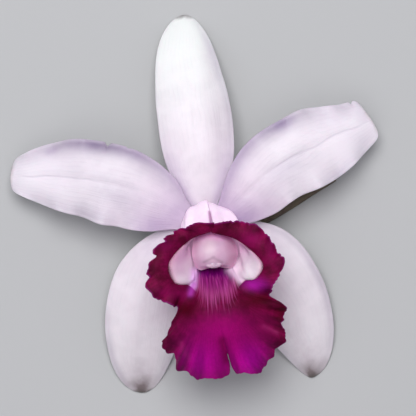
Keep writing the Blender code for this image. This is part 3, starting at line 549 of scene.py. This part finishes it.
def lip_sheet():
    """Lip before its waves: points, rise of its rows from 0 to 2, and side and run of its columns."""
    s = np.concatenate([np.linspace(0, 1, TUBE_ROWS, endpoint=False), np.linspace(1, 2, FLARE_ROWS + 1)])
    parts, sides, runs = [], [], []
    for edge, mouth, hand in ((EDGE_LEFT, MOUTH_LEFT, -1), (EDGE_RIGHT, MOUTH_RIGHT, 1)):
        q, run = even_steps(edge, LIP_COLUMNS)
        order = slice(None, None, -1) if hand < 0 else slice(1, None)
        parts.append(lip_rays(edge, mouth, hand, q, s)[:, order])
        sides.append((q * hand)[order])
        runs.append((run * hand)[order])
    side, run = np.concatenate(sides)[None, :], np.concatenate(runs)[None, :]
    return np.concatenate(parts, axis=1), s[:, None], side, run


def lip_waves(rise, run, wander):
    """Broad ruffles and small frills, growing towards the free edge."""
    turns = tau * np.abs(run) / RUFFLE_LENGTH + 1.1 * np.sin(run * 0.19 + 0.6)
    ruffle = RUFFLE * (0.7 + 0.3 * np.sin(run * 0.23)) * ease(RUFFLE_FROM, 2, rise) * np.sin(turns)
    strong = 0.55 + 0.45 * np.sin(run * 0.33 + 2.0)
    turns = tau * run / FRILL_LENGTH + wander
    return ruffle + FRILL * strong * ease(FRILL_FROM, 2, rise) * np.sin(turns)


def lip(skins):
    """Rolled, flared and frilled third petal, its left side lobe closed over the right one."""
    grid, rise, side, run = lip_sheet()
    x, y, level = grid[..., 0], grid[..., 1], np.abs(side)
    ahead, _, outward = directions(grid)
    calm = calm_ends(level)
    wander = 1.4 * np.sin(run * 0.41) + 0.8 * np.sin(run * 0.87 + 1.0)
    waves = lip_waves(rise, run, wander)
    floor = hill(x, CALLUS_AT, CALLUS_REACH) * between(rise, (0.3, 0.55), (1, 1.35))
    ridges = np.cos(tau * (x - CALLUS_AT) / CALLUS_PITCH)
    lift = waves * calm - CALLUS_RIDGE * ridges * floor * (level < 0.45)
    halfway = MIDLOBE_TOP[0] + (MIDLOBE_TOP[1] - y) * MIDLOBE_SLOPE
    groove = hill(x, halfway, GROOVE_WIDTH) * between(rise, (1.15, 1.5), (1.9, 2))
    lift = lift - GROOVE_SINK * groove * (level < 0.3)
    tooth = TOOTH * (np.abs(np.sin(pi * run / TOOTH_LENGTH + wander)) ** 0.7 - 0.6) * calm
    stretch = ease(1.7, 2, rise) * (tooth + hills(run, TEETH))
    grid = grid + outward * lift[..., None] + ahead * stretch[..., None]
    grid[..., 0] += hills(run, CLEFT_SHIFTS) * ease(1.5, 2, rise)
    lengths = np.linalg.norm(np.diff(grid, axis=0), axis=2)[::-1]
    margin = np.concatenate([np.zeros_like(lengths[:1]), np.cumsum(lengths, axis=0)])[::-1]
    paint = lip_paint(grid, rise, level, run, margin)
    # Wave height, which sets where the crests are painted lighter and the valleys darker
    paint["crest"] = np.clip(0.5 + 0.5 * waves / RUFFLE, 0, 1)
    body = LIP_MARGIN + (LIP_BODY - LIP_MARGIN) * ease(0.3, 3.5, margin)
    grid, body = grid[:, ::-1], body[:, ::-1]
    paint = {label: np.broadcast_to(v, margin.shape)[:, ::-1] for label, v in paint.items()}
    piece = tissue("lip", grid, body / 2, body / 2, skins["lip_magenta"], paint)
    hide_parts("lip")


def spot(grid, x, y, wide, tall):
    """Soft round patch on the face of the bloom."""
    return np.exp(-((grid[..., 0] - x) / wide) ** 2 - ((grid[..., 1] - y) / tall) ** 2)


def stripe(grid, start, end, wide):
    """Soft line between two places on the face of the bloom."""
    start, end = np.array(start), np.array(end)
    reach = end - start
    share = np.clip(((grid[..., :2] - start) @ reach) / (reach @ reach), 0, 1)
    away = np.linalg.norm(grid[..., :2] - start - share[..., None] * reach, axis=-1)
    return np.exp(-(away / wide) ** 2)


def marks(grid, rounds, lines):
    """Soft round patches and lines on the face of the bloom, laid over each other up to 1."""
    total = sum(strength * spot(grid, *shape) for strength, *shape in rounds)
    total = total + sum(strength * stripe(grid, *shape) for strength, *shape in lines)
    return np.clip(total, 0, 1)


def lip_paint(grid, rise, level, run, margin):
    """Where the lip is white, veined or violet, and where it gets painted shade, highlights and glow, as soft
    values.
    """
    x, y = grid[..., 0], grid[..., 1]
    beside = np.maximum(x - np.interp(y, *FLOOR_RIGHT), np.interp(y, *FLOOR_LEFT) - x)
    wall = np.maximum(ease(-0.25, 0.25, beside), ease(0.8, 0.85, level))
    throat = (1 - ease(0.985, 1.015, rise)) * wall
    uneven = 0.07 * np.sin(run * 1.3) + 0.05 * np.sin(run * 3.1 + 1.0)
    # Band of the throat's walls that gets a painted glow
    wall_glow = between(rise, (0.08, 0.35), (0.68, 0.95)) * wall
    masks = {"fold_highlight": rise > 0.95, "rosy_highlight": rise > 1.02, "left_fold_highlight": rise < 1.04, "right_fold_highlight": rise < 1.04,
             "light": throat}
    paint = {label: marks(grid, *listed) * masks.get(label, 1) for label, listed in LIP_MARKS.items()}
    # Pinker towards the top of the throat, and painted shade on the left wall beside the hood
    paint["pink_and_shade"] = np.clip(paint["pink_and_shade"] + ease(-12.5, -5, y), 0, 1) * throat
    # Share of the painted glow: on the walls, and more in the crevices beside the hood
    paint["painted_glow_share"] = 0.55 * wall_glow + 0.45 * paint.pop("crevice_glow") * throat
    paint["floor"] = (1 - wall) * (1 - ease(0.84, 1.14, rise + uneven + 0.6 * level ** 2))
    # Lighter purple on the floor towards the mouth
    paint["end_tone"] = ease(0.72, 0.95, rise)
    # Darker floor under the hood's edge: partly its own dark purple, partly painted shadow of the hood
    paint["deep"] = ease(-17.5, -13, y)
    # Pink painted highlight along the mouth's rim
    paint["mouth_rim_highlight"] = hill(rise, 1, 0.03) * wall
    paint["centre"] = hill(x, 4.6, 8.5) * ease(-22, -31, y)
    return paint | {"rise": rise, "run": run, "margin": margin, "throat": throat}


def path_frames(path, steps):
    """Places, side vectors and up vectors along a path, turned as little as it allows."""
    places = along(path, steps[:, 0])
    heads = unit(np.gradient(places, axis=0))
    side = np.array([1.0, 0.0, 0.0])
    sides = []
    for head in heads:
        side = unit(side - head * side.dot(head))
        sides.append(side)
    sides = np.array(sides)
    return places, sides, unit(np.cross(heads, sides))


def rings_round(places, side, up, wide, tall):
    """Rings of points round a path, by how far each lies beside and above it."""
    return places[:, None, :] + side[:, None, :] * wide[..., None] + up[:, None, :] * tall[..., None]


def round_steps(rows, sides):
    """Steps along a round body from 0 to 1, and turns round it."""
    return np.linspace(0, 1, rows + 1)[:, None], np.linspace(0, tau, sides, endpoint=False)[None, :]


def round_body(name, rings, skin, paint):
    """Closed body through rings of points, each end closed by a fan to its middle."""
    count, sides, _ = rings.shape
    index = np.arange(count * sides).reshape(count, sides)
    following = np.roll(index, -1, axis=1)
    faces = np.stack([index[:-1], following[:-1], following[1:], index[1:]], axis=-1).reshape(-1, 4).tolist()
    start, end = count * sides, count * sides + 1
    faces += [[int(b), int(a), start] for a, b in zip(index[0], following[0])]
    faces += [[int(a), int(b), end] for a, b in zip(index[-1], following[-1])]
    points = np.concatenate([rings.reshape(-1, 3), [rings[0].mean(axis=0)], [rings[-1].mean(axis=0)]])
    full = {}
    for label, values in paint.items():
        sheet = np.broadcast_to(values, (count, sides))
        full[label] = np.concatenate([sheet.ravel(), [sheet[0].mean()], [sheet[-1].mean()]])
    return make_piece(name, points, faces, skin, full)


def column(skins):
    """Waxy column: rounded back, flatter face, side wings, and a toothed hood over the anther."""
    u, turn = round_steps(*COLUMN_FINENESS)
    places, side, up = path_frames(COLUMN_PATH, u)
    close = np.sqrt(np.maximum(1 - ease(0.93, 1.05, u) ** 2, 0))
    wide = along(COLUMN_WIDTH, u) / 2 * close
    thick = along(COLUMN_THICKNESS, u) / 2 * close
    flat = np.where(np.sin(turn) < 0, COLUMN_FLAT_UNDER, 1.0)
    dome = np.sin(turn) * np.abs(np.sin(turn)) ** COLUMN_KEEN
    rings = rings_round(places, side, up, wide * np.cos(turn), thick * flat * dome)
    back = hill(turn, pi / 2, 0.55)
    arms = hill(turn, 0.35, 0.3) + hill(turn, pi - 0.35, 0.3)
    push = ease(0.85, 1, u) * (HOOD_ARMS * arms - HOOD_SHORTER * back)
    heads = unit(np.cross(side, up))
    rings = rings + heads[:, None, :] * push[..., None]
    # Where the column's sides get a faint painted glow
    edge = ease(0.84, 1, np.abs(np.cos(turn))) + 0 * u
    # Painted highlight down the hood's middle, pinker foot, painted shade at the flanks and in the brow's
    # creases
    paint = {"hood_highlight": spot(rings, 0.7, -6.6, 2.0, 3.4), "pink": ease(-5.2, -2.8, rings[..., 1]),
             "flank_painted_shade": ease(2.2, 6, np.abs(rings[..., 0] - 1.6)), "edge": edge,
             "brow_crease_shade": marks(rings, [], BROW_SHADE_LINES)}
    piece = round_body("column", rings, skins["column_wax"], paint)
    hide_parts("column")


def anther_cap(skins):
    """Small two-lobed cap at the column's tip."""
    u, turn = round_steps(*CAP_FINENESS)
    lift = 0.02 + (pi - 0.04) * u
    ball = [np.sin(lift) * np.cos(turn), np.sin(lift) * np.sin(turn), -np.cos(lift) + 0 * turn]
    ball = np.stack(ball, axis=-1)
    creases = hill(ball[..., 0], -0.38, 0.16) + hill(ball[..., 0], 0.3, 0.16)
    ball *= 1 - CAP_CREASE * creases[..., None] * np.maximum(ball[..., 2:], 0)
    piece = round_body("anther_cap", CAP_CENTRE + ball * CAP_SIZE, skins["anther_cream"], {})
    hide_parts("anther_cap")


def ovary_stalk(skins):
    """Ribbed ovary under the heart, thinning to a plain pedicel with a cut end."""
    u, turn = round_steps(*STALK_FINENESS)
    places, side, up = path_frames(STALK_PATH, u)
    radius = OVARY_RADIUS + (PEDICEL_RADIUS - OVARY_RADIUS) * ease(0.3, 0.75, u)
    radius = radius + (RECEPTACLE_RADIUS - OVARY_RADIUS) * (1 - ease(0, 0.08, u))
    groove = 0.5 + 0.5 * np.cos(GROOVES * turn)
    r = radius * (1 - GROOVE_DEPTH * between(u, (0, 0.1), (0.5, 0.85)) * groove)
    rings = rings_round(places, side, up, r * np.cos(turn), r * np.sin(turn))
    rings[0, :, 2] = RECEPTACLE_TOP
    piece = round_body("ovary_stalk", rings, skins["stalk_green"], {"groove": groove})
    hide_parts("ovary_stalk")


def node(tree, kind, inputs=None, **settings):
    """New node with its settings and inputs, each a value or another node's output."""
    made = tree.nodes.new("ShaderNode" + kind)
    for label, value in settings.items():
        setattr(made, label, value)
    for label, value in (inputs or {}).items():
        if isinstance(value, bpy.types.NodeSocket):
            tree.links.new(value, made.inputs[label])
        else:
            made.inputs[label].default_value = value
    return made


def tree_of(*values):
    """Node tree of the first node output among the values."""
    return next(v.id_data for v in values if isinstance(v, bpy.types.NodeSocket))


def mix(share, under, over, way="MIX"):
    """Colour between two others by a share, or with the way MULTIPLY the lower one times the upper."""
    tree = tree_of(share, under, over)
    under, over = (c if isinstance(c, bpy.types.NodeSocket) else (*c, 1) for c in (under, over))
    return node(tree, "Mix", {0: share, 6: under, 7: over}, data_type="RGBA", blend_type=way).outputs[2]


def sums(operation, a, b=0.5, c=0.5):
    """Result of one sum on up to three values."""
    return node(tree_of(a, b, c), "Math", {0: a, 1: b, 2: c}, operation=operation).outputs[0]


def times(a, b):
    """Product of two values."""
    return sums("MULTIPLY", a, b)


def ramp(value, low, high, to_low=0, to_high=1):
    """Value carried smoothly from one range to another."""
    inputs = {"Value": value, "From Min": low, "From Max": high, "To Min": to_low, "To Max": to_high}
    return node(tree_of(value), "MapRange", inputs, interpolation_type="SMOOTHSTEP").outputs[0]


def reading(tree, label):
    """Value painted on the piece's points."""
    return node(tree, "Attribute", attribute_name=label).outputs["Fac"]


def washes(colour, listed, way="MIX"):
    """Colour with others over it, each by a share (a value, or a painted one's label) and a strength."""
    for share, strength, over in listed:
        if isinstance(share, str):
            share = reading(colour.id_data, share)
        colour = mix(times(share, strength), colour, over, way)
    return colour


def noise(tree, scale, detail, place=None, rough=0.5):
    """Cloudy noise round 0.5, through the piece or another place."""
    place = place_of(tree) if place is None else place
    inputs = {"Vector": place, "Scale": scale, "Detail": detail, "Roughness": rough}
    return node(tree, "TexNoise", inputs).outputs[0]


def place_of(tree):
    """Place of a point in the piece's own metres."""
    return node(tree, "TexCoord").outputs["Object"]


def effect(name, inputs, outputs):
    """Empty node group with named number inputs and outputs."""
    group = bpy.data.node_groups.new(name, "ShaderNodeTree")
    for label, value in inputs.items():
        group.interface.new_socket(label, in_out="INPUT", socket_type="NodeSocketFloat").default_value = value
    for label in outputs:
        group.interface.new_socket(label, in_out="OUTPUT", socket_type="NodeSocketFloat")
    return group, group.nodes.new("NodeGroupInput").outputs, group.nodes.new("NodeGroupOutput").inputs


def tissue_cells_effect():
    """Glistening surface cells of a petal: their relief, and how each catches light."""
    tree, given, result = effect("tissue_cells", {"Cells per mm": 5.0}, ["Relief", "Glint"])
    density = times(given["Cells per mm"], 1 / MM)
    cells = node(tree, "TexVoronoi", {"Vector": place_of(tree), "Scale": density})
    tree.links.new(ramp(cells.outputs["Distance"], 0, 0.7, 1, 0), result["Relief"])
    tint = node(tree, "SeparateColor", {0: cells.outputs["Color"]})
    tree.links.new(tint.outputs[0], result["Glint"])


def mottle_effect():
    """Slow cloudy changes in a tissue's tone."""
    tree, given, result = effect("tissue_mottle", {"Patch mm": 4.0, "Softness": 0.5}, ["Cloud"])
    cloud = noise(tree, sums("DIVIDE", 1 / MM, given["Patch mm"]), 3, rough=given["Softness"])
    tree.links.new(ramp(cloud, 0.3, 0.7), result["Cloud"])


def streaks_effect():
    """Uneven streaks along a blade."""
    tree, given, result = effect("long_streaks", {"Across": 0.0, "Along": 0.0, "Lines": 20.0}, ["Streak"])
    wide = times(given["Across"], given["Lines"])
    place = node(tree, "CombineXYZ", {0: wide, 1: times(given["Along"], 3.0)})
    cloud = noise(tree, 1, 2, place.outputs[0])
    tree.links.new(ramp(cloud, 0.35, 0.65), result["Streak"])


def veins_effect():
    """Veins at an even pitch of a position, wandering a little."""
    labels = {"Position": 0.0, "Pitch": 1.0, "Width": 0.25, "Wander": 0.3, "Patch mm": 5.0}
    tree, given, result = effect("tissue_veins", labels, ["Vein"])
    sway = noise(tree, sums("DIVIDE", 1 / MM, given["Patch mm"]), 1)
    drift = sums("MULTIPLY_ADD", sway, given["Wander"], given["Position"])
    apart = sums("PINGPONG", sums("DIVIDE", drift, given["Pitch"]), 0.5)
    line = ramp(apart, 0, 0.5, 1, 0)
    tree.links.new(sums("POWER", line, sums("DIVIDE", 1.0, given["Width"])), result["Vein"])


def margin_effect():
    """Band along a free margin, with an uneven inner border."""
    tree, given, result = effect("margin_band", {"Margin": 5.0, "Band mm": 1.0, "Uneven mm": 0.5}, ["Band"])
    shift = times(sums("SUBTRACT", noise(tree, 0.4 / MM, 2), 0.5), given["Uneven mm"])
    depth = sums("ADD", given["Margin"], shift)
    tree.links.new(ramp(depth, 0, given["Band mm"], 1, 0), result["Band"])


def use(tree, name, **inputs):
    """Effect placed in a skin by its name, with its own values."""
    named = {label.replace("_", " "): value for label, value in inputs.items()}
    return node(tree, "Group", named, node_tree=bpy.data.node_groups[name]).outputs


def new_skin(name, subsurface, reach, spread, sheen=0.0, coat=0.0, shine=0.5):
    """Material, its nodes and its shader's inputs, set for light inside the tissue."""
    skin = bpy.data.materials.new(name)
    skin.use_nodes = True
    shader = skin.node_tree.nodes["Principled BSDF"].inputs
    values = {"Subsurface Weight": subsurface, "Subsurface Scale": reach * MM, "Subsurface Radius": spread,
              "Sheen Weight": sheen, "Coat Weight": coat, "Specular IOR Level": shine}
    for label, value in values.items():
        shader[label].default_value = value
    return skin, skin.node_tree, shader


def relief(shader, height, depth_mm, before=None):
    """Bump of a real depth on the shader's normal, over the one before it."""
    tree = height.id_data
    inputs = {"Height": height, "Distance": depth_mm * MM}
    if before is not None:
        inputs["Normal"] = before
    made = node(tree, "Bump", inputs)
    tree.links.new(made.outputs[0], shader["Normal"])
    return made.outputs[0]


def finish(shader, colour, per_mm, rough, depth_mm, before=None):
    """Colour and surface cells of a skin: each cell has its own roughness between two, and fine relief."""
    tree = colour.id_data
    cells = use(tree, "tissue_cells", Cells_per_mm=per_mm)
    tree.links.new(colour, shader["Base Color"])
    tree.links.new(ramp(cells["Glint"], 0, 1, *rough), shader["Roughness"])
    relief(shader, cells["Relief"], depth_mm, before)


def painted_glow(tree, shader, label, light):
    """Painted glow where the piece is painted for it, standing in for light through the tissue and lifting
    shade.
    """
    tree.links.new(mix(reading(tree, label), (0, 0, 0), light), shader["Emission Color"])
    shader["Emission Strength"].default_value = 1.0


def white_skin(name, body, lilac_and_shade, grey_painted_shade, back, tip, tip_from, margin_painted_shade_mm):
    """White tepal skin: cloudy tone, streaks, veins, lilac patches, painted shade and light, a darker tip and
    cooler back.
    """
    skin, tree, shader = new_skin(name, 0.3, 0.8, (1.0, 0.75, 0.85), sheen=0.05)
    along_blade, across, margin = reading(tree, "along"), reading(tree, "across"), reading(tree, "margin")
    cloud = use(tree, "tissue_mottle", Patch_mm=6.0)["Cloud"]
    fine = use(tree, "tissue_mottle", Patch_mm=3.0)["Cloud"]
    streak = use(tree, "long_streaks", Across=across, Along=along_blade, Lines=34.0)["Streak"]
    veins = use(tree, "tissue_veins", Position=times(across, 8), Pitch=1.0, Width=0.22, Wander=1.6,
                Patch_mm=7.0)["Vein"]
    veins = times(veins, cloud)
    rough = ramp(fine, 0, 1, 0.88, 1.08)
    band = use(tree, "margin_band", Margin=margin, Band_mm=1.2, Uneven_mm=2.0)["Band"]
    flush = sums("MAXIMUM", times(reading(tree, "lilac_and_shade"), rough), times(band, 0.12))
    dim = tuple(c * 0.9 for c in body)
    # A lighter copy of the body colour, laid on towards the tip as painted light where the tip turns from the
    # lamps
    light = tuple(min(c * 1.14, 0.93) for c in body)
    colour = washes(mix(ramp(cloud, 0, 1, 0, 0.5), body, dim), [
        (streak, 0.08, dim), (ramp(along_blade, 0.55, 0.92), 1, light), (veins, 0.07, lilac_and_shade),
        # Grey painted shade, and lilac that is partly painted shade
        (times(reading(tree, "grey_painted_shade"), rough), 0.75, grey_painted_shade), (flush, 0.85, lilac_and_shade),
    ])
    # Painted shade in a band inside the margin, where the margin turns away from the light
    margin_painted_shade = times(ramp(margin, 0, margin_painted_shade_mm, 1, 0), reading(tree, "margin_painted_shade"))
    colour = washes(colour, [
        (margin_painted_shade, ramp(margin, 0, 1.4, 0.45, 1), (0.36, 0.31, 0.42)), ("tint", 1, (0.97, 0.88, 0.95)),
        # Painted brown shade towards the tip
        (rough, reading(tree, "tip_painted_shade"), (0.30, 0.26, 0.25)),
    ], "MULTIPLY")
    # Painted shade along the midrib's crease, which also sinks it a little
    sway = sums("SUBTRACT", noise(tree, 0.12 / MM, 1), 0.5)
    off = sums("ABSOLUTE", sums("MULTIPLY_ADD", sway, 2.4, reading(tree, "offset")))
    fold = times(ramp(off, 0.08, 0.5, 1, 0), reading(tree, "crease"))
    # Darker towards the very tip
    end_tone = ramp(sums("MULTIPLY_ADD", fine, 0.012, along_blade), tip_from, tip_from + 0.035)
    colour = washes(colour, [(fold, 0.3, grey_painted_shade), (end_tone, 0.9, tip)])
    colour = mix(reading(tree, "inner"), back, colour)
    below = None
    for height, depth_mm in ((veins, 0.022), (fold, -0.045), (streak, 0.02)):
        below = relief(shader, height, depth_mm, below)
    finish(shader, colour, 6.0, (0.36, 0.56), 0.01, below)
    return skin


def lip_face(tree, cloud, rays):
    """Magenta of the flared lip: bright midlobe, veins, painted shade, painted highlights, painted light on
    its crests and a pale rim.
    """
    fine = use(tree, "tissue_mottle", Patch_mm=0.9)["Cloud"]
    rim = use(tree, "margin_band", Margin=reading(tree, "margin"), Band_mm=0.5, Uneven_mm=0.3)["Band"]
    colour = mix(cloud, (0.085, 0.001, 0.020), (0.175, 0.002, 0.050))
    colour = washes(colour, [("centre", 1, (0.36, 0.001, 0.16)), ("lower", 1, (0.47, 0.001, 0.32))])
    colour = washes(colour, [(rays, 0.2, (0.5, 0.4, 0.5)), (fine, 0.3, (0.6, 0.5, 0.6))], "MULTIPLY")
    # Painted shade over a darker red, and pink streaks that are partly painted highlight
    colour = washes(colour, [("dark_red_and_shade", 0.85, (0.068, 0.0, 0.006)), ("pink_streaks_and_highlight", 0.22, (0.50, 0.05, 0.24))])
    # Lit and shaded copies of the colour: crests painted lighter, valleys painted darker
    valley_painted_shade = mix(1, colour, (0.72, 0.7, 0.72), "MULTIPLY")
    crest_painted_light = mix(1, colour, (1.3, 1.3, 1.2), "MULTIPLY")
    return washes(mix(ramp(reading(tree, "crest"), 0.25, 0.8), valley_painted_shade, crest_painted_light), [
        # Painted highlight on the right fold, and rosy colour with painted highlights
        ("fold_highlight", 1, (0.42, 0.012, 0.34)), ("rosy_highlight", 0.8, (0.26, 0.003, 0.09)),
        (rim, 0.3, (0.42, 0.03, 0.32)),
    ])


def lip_floor(tree, rise, run):
    """Purple combed floor of the throat: pale hairs, lighter at the mouth, darker under the hood, partly
    painted shadow.
    """
    comb = use(tree, "long_streaks", Across=run, Along=rise, Lines=0.42)["Streak"]
    hairs = use(tree, "long_streaks", Across=run, Along=rise, Lines=1.1)["Streak"]
    pale_hairs = times(ramp(hairs, 0.35, 1), ramp(comb, 0.2, 0.8, 0.25, 1))
    pale_hairs = times(pale_hairs, ramp(reading(tree, "floor"), 0.4, 1))
    depth = sums("MULTIPLY_ADD", comb, -0.45, reading(tree, "deep"))
    return washes(mix(comb, (0.15, 0.003, 0.085), (0.30, 0.014, 0.19)), [
        ("end_tone", 1, (0.38, 0.05, 0.21)), (pale_hairs, 0.38, (0.58, 0.13, 0.40)),
        # Darker under the hood, partly painted shadow
        (ramp(depth, 0.05, 0.5), 1, (0.12, 0.0, 0.10)),
    ])


def lip_skin():
    """Velvety lip: magenta face, purple floor, white throat with painted highlights and glow, and a pale roof
    behind.
    """
    skin, tree, shader = new_skin("lip_magenta", 0.08, 0.4, (1.0, 0.2, 0.6), shine=0.05)
    rise, run = reading(tree, "rise"), reading(tree, "run")
    cloud = use(tree, "tissue_mottle", Patch_mm=3.0)["Cloud"]
    rays = use(tree, "tissue_veins", Position=run, Pitch=1.5, Width=0.3, Wander=2.2, Patch_mm=4.0)["Vein"]
    rays = times(times(rays, ramp(rise, 1.05, 1.5)), ramp(cloud, 0, 1, 0.2, 1))
    white = mix(cloud, (0.69, 0.58, 0.65), (0.60, 0.48, 0.57))
    # Pinker up the throat, and painted shade on the left wall
    white = washes(white, [("pink_and_shade", 1, (0.50, 0.26, 0.42))])
    colour = washes(lip_face(tree, cloud, rays), [
        ("floor", 1, lip_floor(tree, rise, run)), ("throat", 1, white),
        # Painted highlights along the mouth's rim and on the folds, and painted pools of light in the throat
        ("mouth_rim_highlight", 0.6, (0.80, 0.34, 0.52)), ("left_fold_highlight", 0.95, (0.92, 0.50, 1.0)),
        ("low_fold_highlight", 0.7, (0.42, 0.04, 0.42)),
        ("light", 1, (0.92, 0.84, 0.90)), ("right_fold_highlight", 0.8, (0.84, 0.62, 0.80)),
    ])
    roof = washes(mix(cloud, (0.98, 0.82, 0.97), (0.94, 0.75, 0.93)), [("keel", 0.8, (0.28, 0.03, 0.22))])
    back = mix(ramp(rise, 0.9, 1.15), roof, (0.30, 0.02, 0.20))
    colour = mix(reading(tree, "inner"), back, colour)
    # Painted glow on the throat's walls and in the crevices beside the hood
    painted_glow(tree, shader, "painted_glow_share", (0.25, 0.15, 0.22))
    finish(shader, colour, 7.0, (0.45, 0.65), 0.012, relief(shader, rays, 0.05))
    return skin


def wax_skin():
    """Waxy blush column: painted highlight down its middle, pinker foot, painted shade at flanks and brow,
    painted glow at edges.
    """
    skin, tree, shader = new_skin("column_wax", 0.3, 0.8, (1.0, 0.5, 0.6), coat=0.02)
    cloud = use(tree, "tissue_mottle", Patch_mm=3.5)["Cloud"]
    colour = washes(mix(cloud, (0.68, 0.44, 0.60), (0.60, 0.36, 0.52)), [
        # Painted shade at the flanks, a pinker foot, a painted highlight down the middle, painted shade in
        # the brow
        ("flank_painted_shade", 0.8, (0.50, 0.25, 0.38)), ("pink", 0.8, (0.78, 0.27, 0.62)),
        ("hood_highlight", 0.6, (0.72, 0.56, 0.63)), ("brow_crease_shade", 0.6, (0.38, 0.22, 0.32)),
    ])
    # Faint painted glow at the column's edges
    painted_glow(tree, shader, "edge", (0.10, 0.05, 0.08))
    finish(shader, colour, 6.0, (0.34, 0.5), 0.01)
    return skin


def cap_skin():
    """Cream cap with a faint blush."""
    skin, tree, shader = new_skin("anther_cream", 0.3, 0.6, (1.0, 0.7, 0.6))
    cloud = use(tree, "tissue_mottle", Patch_mm=1.2)["Cloud"]
    colour = mix(cloud, (0.74, 0.56, 0.68), (0.60, 0.40, 0.54))
    finish(shader, colour, 8.0, (0.35, 0.5), 0.01)
    return skin


def stalk_skin():
    """Green-brown ribbed stalk, with painted shade in its grooves."""
    skin, tree, shader = new_skin("stalk_green", 0.1, 0.6, (0.6, 0.8, 0.3))
    cloud = use(tree, "tissue_mottle", Patch_mm=2.0)["Cloud"]
    colour = mix(cloud, (0.15, 0.12, 0.07), (0.11, 0.065, 0.05))
    # Painted shade in the grooves
    colour = washes(colour, [("groove", 0.5, (0.5, 0.5, 0.4))], "MULTIPLY")
    finish(shader, colour, 5.0, (0.4, 0.6), 0.02)
    return skin


def make_skins():
    """Effects that several skins use, and then every skin of the bloom by its name."""
    for make_effect in (tissue_cells_effect, mottle_effect, streaks_effect, veins_effect, margin_effect):
        make_effect()
    skins = {name: white_skin(name, **look) for name, look in WHITES.items()}
    return skins | {"lip_magenta": lip_skin(), "column_wax": wax_skin(), "anther_cream": cap_skin(),
                    "stalk_green": stalk_skin()}


def table_top():
    """Plain pale surface that the bloom lies on."""
    mesh = bpy.data.meshes.new("table_top")
    corners = [(x * TABLE_HALF, y * TABLE_HALF, 0) for x, y in ((-1, -1), (1, -1), (1, 1), (-1, 1))]
    mesh.from_pydata(corners, [], [(0, 1, 2, 3)])
    surface = bpy.data.materials.new("table_pale")
    surface.use_nodes = True
    shader = surface.node_tree.nodes["Principled BSDF"].inputs
    shader["Base Color"].default_value = (0.48, 0.48, 0.49, 1)
    shader["Roughness"].default_value = 0.8
    mesh.materials.append(surface)
    floor = new_object("table_top", mesh)


def lamp(name, place, power, size):
    """Soft square lamp aimed at the heart."""
    light = bpy.data.lights.new(name, "AREA")
    light.energy = power
    light.size = size
    thing = new_object(name, light)
    thing.location = place
    thing.rotation_euler = (Vector(HEART) - Vector(place)).to_track_quat("-Z", "Y").to_euler()


def studio():
    """Soft key from just above the bloom's top, a low fill from its foot, and an even pale room."""
    lamp("key", (-0.05, 0.28, 0.84), 6.0, 0.5)
    lamp("fill", (-0.12, -0.3, 0.8), 1.3, 0.7)
    world = bpy.data.worlds.new("room")
    world.use_nodes = True
    room = world.node_tree.nodes["Background"].inputs
    room["Color"].default_value = (0.9, 0.93, 1.0, 1)
    room["Strength"].default_value = 0.32
    bpy.context.scene.world = world
    bpy.context.scene.view_settings.view_transform = "Standard"


def camera():
    """Looks straight down on the bloom's face, as the photograph faces it."""
    lens = bpy.data.cameras.new("view")
    lens.lens = lens.sensor_width / 2 * VIEW_DISTANCE / VIEW_HALF_WIDTH
    thing = new_object("view", lens)
    thing.location = HEART + np.array([*VIEW_CENTRE, VIEW_DISTANCE]) * MM
    bpy.context.scene.camera = thing


def main():
    """Camera, light, table, skins, and then each piece of the bloom."""
    camera()
    studio()
    table_top()
    skins = make_skins()
    for name, spec in BLADES.items():
        tepal(name, spec, skins)
    lip(skins)
    column(skins)
    anther_cap(skins)
    ovary_stalk(skins)


main()
